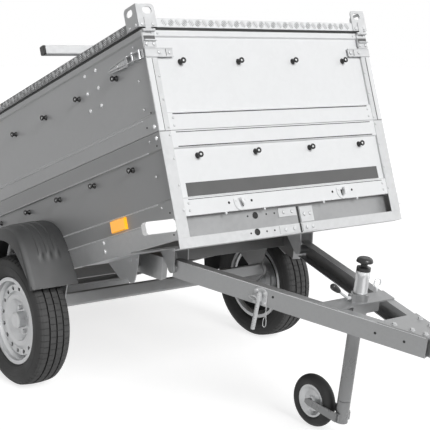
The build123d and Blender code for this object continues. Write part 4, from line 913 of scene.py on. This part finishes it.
for name, side in (("left", 1), ("right", -1)):
    wheel = f"{name}_wheel"
    at_hub = Matrix.Translation(Vector(joints[f"{wheel}_spin"]["pos_m"]))
    verts, faces, on_rib = road_tyre(side)
    tyre = piece(f"{name}_road_tyre", verts, faces, "tyre_rubber", wheel, "tyre_rubber", at_hub, 28)
    tyre.data.materials.append(MATERIALS["tread_rubber"])
    count = len(on_rib)
    ribs = [int(on_rib[k % count] and on_rib[(k + 1) % count]) for k in range(len(faces))]
    tyre.data.polygons.foreach_set("material_index", ribs)
    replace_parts(tyre, f"{name}_tyre")
    piece(f"{name}_rim_shade", *rim_shade(side), "hole_black", wheel, "rim_silver", at_hub, 35)


# ---- Mudguards: a faceted arch, wider at the body, with three short pressed ribs and a turned-down side
AXLE_AT = Vector((-BED_LENGTH / 2, 0, -0.233))
GUARD_FOOT = 0.097
GUARD_SHEET = 0.004
ROUNDING = 16
FACETS = {  # facets of each outline: (degrees of its normal, distance), front half
    "inner": ((8, 0.334), (20, 0.362), (58, 0.424), (84, 0.414)),
    "shoulder": ((4, 0.300), (15, 0.326), (55, 0.414), (90, 0.386)),
    "lip": ((26, 0.300), (58, 0.352), (90, 0.335)),
}


def reach(outline, angle):
    """Distance from the axle to an outline with rounded corners, in a direction."""
    total = 0
    for degree, distance in FACETS[outline]:
        for turn in {degree, 180 - degree}:
            facing = cos(angle - radians(turn))
            if facing > 0:
                total += (facing / distance) ** ROUNDING
    return total ** (-1 / ROUNDING)


def foot_angle(outline):
    """The angle at which an outline ends, at the height of the guard's foot."""
    low, high = 0.05, 1.2  # radians, on both sides of the answer
    for _ in range(40):
        middle = (low + high) / 2
        if reach(outline, middle) * sin(middle) < GUARD_FOOT:
            low = middle
        else:
            high = middle
    return low


GUARD_STATIONS = 72
GUARD_SHARES = 20
GUARD_INNER_Y = HALF + 0.0005
GUARD_OUTER_Y = HALF + 0.197
GUARD_BEND = 0.024
BEND_TURNS = (30, 60, 90)
BEND_FALL = 0.6
EDGE_POINTS = len(BEND_TURNS) + 1  # the points of a row that lie past the top
RIB_MIDDLES = (0.30, 0.50, 0.70)  # shares of the width
RIB_HALF = 0.055
RIB_SLOPE = 0.015
RIB_EDGES = (-0.055, -0.040, 0.040, 0.055)
RIB_END = 0.13  # share of the arch under a rib's end
RIB_END_SLOPE = 0.05
RIB_RISE = 0.0034


def limited(value):
    """A value held between 0 and 1."""
    return max(0.0, min(1.0, value))


def rib_rise(across, along):
    """Height of the pressed ribs, by share of the width and of the arch; they end above the foot."""
    near = min(abs(across - middle) for middle in RIB_MIDDLES)
    side = limited((RIB_HALF - near) / RIB_SLOPE)
    end = limited((min(along, 1 - along) - RIB_END) / RIB_END_SLOPE)
    return RIB_RISE * side * end


def guard_row(points, across, along):
    """One section of the guard's outer face, from the wall to the lip, at a share of the arch."""
    row = []
    top_end = GUARD_OUTER_Y - GUARD_BEND
    for share in across:
        top = points["inner"].lerp(points["shoulder"], share)
        lift = top.normalized() * rib_rise(share, along)
        row.append(top + lift + Y * (GUARD_INNER_Y + (top_end - GUARD_INNER_Y) * share))
    drop = (points["lip"] - points["shoulder"]).normalized()
    for turn in BEND_TURNS:
        t = radians(turn)
        fallen = points["shoulder"] + drop * GUARD_BEND * BEND_FALL * (1 - cos(t))
        row.append(fallen + Y * (top_end + GUARD_BEND * sin(t)))
    row.append(points["lip"] + Y * (GUARD_OUTER_Y - 0.002))
    return row


def inner_face(row):
    """The inner face of a section, one sheet's thickness inside it."""
    inward = []
    for k, point in enumerate(row):
        offset = -Vector((point.x, 0, point.z)).normalized()
        if k == len(row) - 1:
            offset = -Y
        elif k >= len(row) - EDGE_POINTS:
            offset = (offset - Y).normalized()
        inward.append(point + offset * GUARD_SHEET)
    return inward


def mudguard(side):
    """Vertices and faces of the left (1) or right (-1) guard."""
    across = {k / GUARD_SHARES for k in range(GUARD_SHARES + 1)}
    across = sorted(across | {middle + edge for middle in RIB_MIDDLES for edge in RIB_EDGES})
    starts = {outline: foot_angle(outline) for outline in FACETS}
    rows = []
    for i in range(GUARD_STATIONS + 1):
        along = i / GUARD_STATIONS
        points = {}
        for outline, start in starts.items():
            angle = start + (pi - 2 * start) * along
            points[outline] = Vector((cos(angle), 0, sin(angle))) * reach(outline, angle)
        row = guard_row(points, across, along)
        rows.append(row + inner_face(row)[::-1])
    count = len(rows[0])
    verts = [Vector((v.x, v.y * side, v.z)) + AXLE_AT for row in rows for v in row]
    faces = []
    for i in range(GUARD_STATIONS):
        faces += [quad[::side] for quad in between(i * count, (i + 1) * count, count)]
    half = count // 2
    for base, flip in ((0, side > 0), (GUARD_STATIONS * count, side < 0)):
        for k in range(half - 1):
            quad = (base + k, base + k + 1, base + count - 2 - k, base + count - 1 - k)
            faces.append(quad[::-1] if flip else quad)
    return verts, faces


guards = Shape()
for side in (1, -1):
    guards.add(*mudguard(side))
mudguards = guards.done("faceted_mudguards", "guard_plastic", smooth=30)
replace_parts(mudguards, "mudguards")


# ---- Drawbar: its bolts, the arms' holes and painted highlights along their edges, lever grip, tilt latches, ring bolt, jockey tube's head
def arm_y(x):
    """Distance of an arm's outer face from the drawbar's middle plane."""
    return ARM_ROOT_Y + (ARM_NOSE_Y - ARM_ROOT_Y) * x / ARM_NOSE_X


def on_arm(x, z, off=0.0):
    """A point on the right arm's outer face, off its face by off."""
    return Vector((x, -arm_y(x), z)) + arm_out * off


arm_way = Vector((ARM_NOSE_X, ARM_ROOT_Y - ARM_NOSE_Y, 0)).normalized()  # along the right arm, from the root
arm_out = Vector((arm_way.y, -arm_way.x, 0))
ARM_MIDDLE = 0.019  # from an arm's outer face to the middle of its top

ON_DRAWBAR = {"body": "drawbar", "place": DRAWBAR}

bolt_points = []
for x in (0.845, 0.905, 0.950):
    bolt_points += [(x, side * (arm_y(x) - ARM_MIDDLE), PLATE_TOP) for side in (-1, 1)]
drawbar_bolts = Shape()
drawbar_bolts.heads(bolt_points, Z, WASHER)
drawbar_bolts.heads(bolt_points, Z, HEX_HEAD)
drawbar_bolts.done("drawbar_bolts", **ON_DRAWBAR)

arm_holes = Shape()
arm_holes.heads([on_arm(x, z) for x, z in ((0.419, 0.010), (0.799, -0.002), (0.898, 0.0))], arm_out, ARM_HOLE)
arm_holes.mirrored()
arm_holes.done("arm_holes", "black_plastic", "hole_black", **ON_DRAWBAR)

# A bright strip along each arm's top edge: a painted highlight
arm_edge_glints = Shape()
arm_edge_glints.rod([on_arm(x, ARM_TOP - 0.0012, -0.0012) for x in (0.015, 0.5, 0.965)], 0.0016, 8)
arm_edge_glints.mirrored()
arm_edge_glints.done("arm_edge_glints", material="crease_zinc", **ON_DRAWBAR)

# Clamp lever's black grip
CLAMP_LEVER_BEND = Vector((JOCKEY_X, -0.060, 0.055))
LEVER_RISE = radians(34)
GRIP = (  # distance along the lever, radius
    (0.056, 0.0062), (0.060, 0.0082), (0.068, 0.0098), (0.080, 0.0116),
    (0.092, 0.0121), (0.099, 0.0112), (0.104, 0.0084), (0.1065, 0.004),
)
lever_way = Vector((0, -cos(LEVER_RISE), sin(LEVER_RISE)))
grip = Shape()
grip.rod([CLAMP_LEVER_BEND + lever_way * along for along, _ in GRIP], [radius for _, radius in GRIP], 18)
grip.done("lever_grip", "black_plastic", **ON_DRAWBAR, smooth=60)

# Tilt latches on the arms: a rounded plate, a sleeve, the slotted pin bar, its pull ring and a spring clip
LATCH_X = 0.372
LATCH_PLATE = 0.005
CLIP = (  # z, distance along the arm
    (-0.026, 0.0), (-0.060, 0.002), (-0.085, 0.007), (-0.100, 0.0075),
    (-0.108, 0.002), (-0.104, -0.005), (-0.085, -0.006), (-0.060, 0.0),
)
tilt = Shape()
rounded = [(-0.028, -0.032), (0.028, -0.032), (0.028, 0.012)]
rounded += arc((0.006, 0.010), 0.022, 0, 90, 6) + arc((-0.008, 0.012), 0.020, 90, 180, 6)
tilt.slab(rounded, on_arm(LATCH_X, 0), arm_way, Z, LATCH_PLATE, 0.001)
sleeve_at = on_arm(LATCH_X, 0, 0.014)
tilt.rod([sleeve_at + Z * z for z in (0.016, 0.015, -0.013, -0.014)], [0.009, 0.0115, 0.0115, 0.009], 18)
bar_low = sleeve_at + Vector((-0.012, 0, -0.128))
pin_bar = [sleeve_at + Z * 0.020, sleeve_at - Z * 0.010, bar_low + Z * 0.004, bar_low]
tilt.rod(pin_bar, [0.0075, 0.0078, 0.0078, 0.0066], 16)
ring_at = sleeve_at + Vector((-0.020, 0, -0.006)) + arm_out * 0.012
tilt.rod(circle(ring_at, arm_way, arm_out * 0.6 + Z * 0.8, 0.017, 0.013, 20), 0.002, 8, True)
for dx, z in ((-0.018, 0.018), (0.018, -0.022), (0.016, 0.014)):
    tilt.heads([on_arm(LATCH_X + dx, z, LATCH_PLATE)], arm_out, LATCH_SCREW)
tilt.rod([on_arm(LATCH_X + 0.030, z, 0.008) + arm_way * along for z, along in CLIP], 0.0014, 8)
tilt.mirrored()
tilt_latches = tilt.done("tilt_latch_sets", material="coupling_steel", **ON_DRAWBAR)
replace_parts(tilt_latches, "tilt_latches")

# The arms' line goes on behind their pivots, fixed under the bed
ROOT_DEPTH = 0.036
root_side = [(-0.225, -0.058), (-0.052, -0.064), (-0.052, 0.030), (-0.140, 0.030), (-0.225, -0.006)]
root = Shape()
root.slab(root_side, on_arm(0, 0) - arm_out * ROOT_DEPTH, arm_way, Z, ROOT_DEPTH, 0.0015)
root.mirrored()
root.done("arm_roots", material="arm_zinc", place=DRAWBAR)

# Ring bolt on the far arm, beside the cross plate
EYE_AT = Vector((0.575, 0.142, PLATE_TOP))
eye = Shape()
eye.rod([EYE_AT - Z * 0.004, EYE_AT + Z * 0.012], 0.0045, 12)
eye.rod(circle(EYE_AT + Z * 0.028, Y, Z, 0.017, 0.017, 24), 0.003, 10, True)
eye.done("ring_bolt", "coupling_steel", "bright_steel", **ON_DRAWBAR, smooth=60)

# Jockey tube: the bright head under the knob
HEAD = (  # z, radius
    (0.150, 0.0236), (0.149, 0.0252), (0.128, 0.0254),
    (0.127, 0.0246), (0.070, 0.0246), (0.069, 0.0242),
)
tube_head = Shape()
tube_head.rod([(JOCKEY_X, 0, z) for z, _ in HEAD], [radius for _, radius in HEAD], 32)
tube_head.done("tube_head", material="bright_steel", body="jockey_mast", place=DRAWBAR, smooth=50)


# ---- Studio: a pale floor, soft light and a white background
def seen_white(tree):
    """A value that is 1 for rays that show the background: from the camera, in gloss and through glass."""
    path = tree.nodes.new("ShaderNodeLightPath")
    total = path.outputs["Is Camera Ray"]
    for kind in ("Is Glossy Ray", "Is Transmission Ray"):
        add = tree.nodes.new("ShaderNodeMath")
        add.operation = "MAXIMUM"
        tree.links.new(total, add.inputs[0])
        tree.links.new(path.outputs[kind], add.inputs[1])
        total = add.outputs[0]
    return total


FLOOR_SIZE = 40
FLOOR_GREY = 0.42
FLOOR_GLOW = 0.76  # where it is seen, so that it comes out nearly white
floor_mesh = bpy.data.meshes.new("floor")
corners = [(x, y, 0) for x, y in rectangle(-FLOOR_SIZE, -FLOOR_SIZE, FLOOR_SIZE, FLOOR_SIZE)]
floor_mesh.from_pydata(corners, [], [(0, 1, 2, 3)])
floor = in_scene("floor", floor_mesh)
floor_paint, tree, bsdf = shader("floor_paint")
bsdf.inputs["Base Color"].default_value = (FLOOR_GREY, FLOOR_GREY, FLOOR_GREY, 1)
bsdf.inputs["Roughness"].default_value = 0.9
bsdf.inputs["Emission Color"].default_value = (1, 1, 1, 1)
spread(tree, seen_white(tree), 0.0, FLOOR_GLOW, bsdf.inputs["Emission Strength"], 0.0, 1.0)
floor_mesh.materials.append(floor_paint)

AMBIENT = 0.14
world = bpy.data.worlds.new("studio")
bpy.context.scene.world = world
world.use_nodes = True
tree = world.node_tree
sky = tree.nodes["Background"]
sky.inputs["Color"].default_value = (1, 1, 1, 1)
spread(tree, seen_white(tree), AMBIENT, 1.0, sky.inputs["Strength"], 0.0, 1.0)

LAMPS = {  # name: direction the light comes from, strength, softness in degrees
    "key": ((1.0, -0.06, 0.62), 2.9, 24),
    "fill": ((0.1, 1.0, 0.6), 0.5, 60),
}
for name, (source, strength, softness) in LAMPS.items():
    sun = bpy.data.lights.new(name, "SUN")
    sun.energy = strength
    sun.angle = radians(softness)
    lamp = in_scene(name, sun)
    lamp.rotation_euler = Vector(source).to_track_quat("Z", "Y").to_euler()

bpy.context.scene.view_settings.view_transform = "Standard"
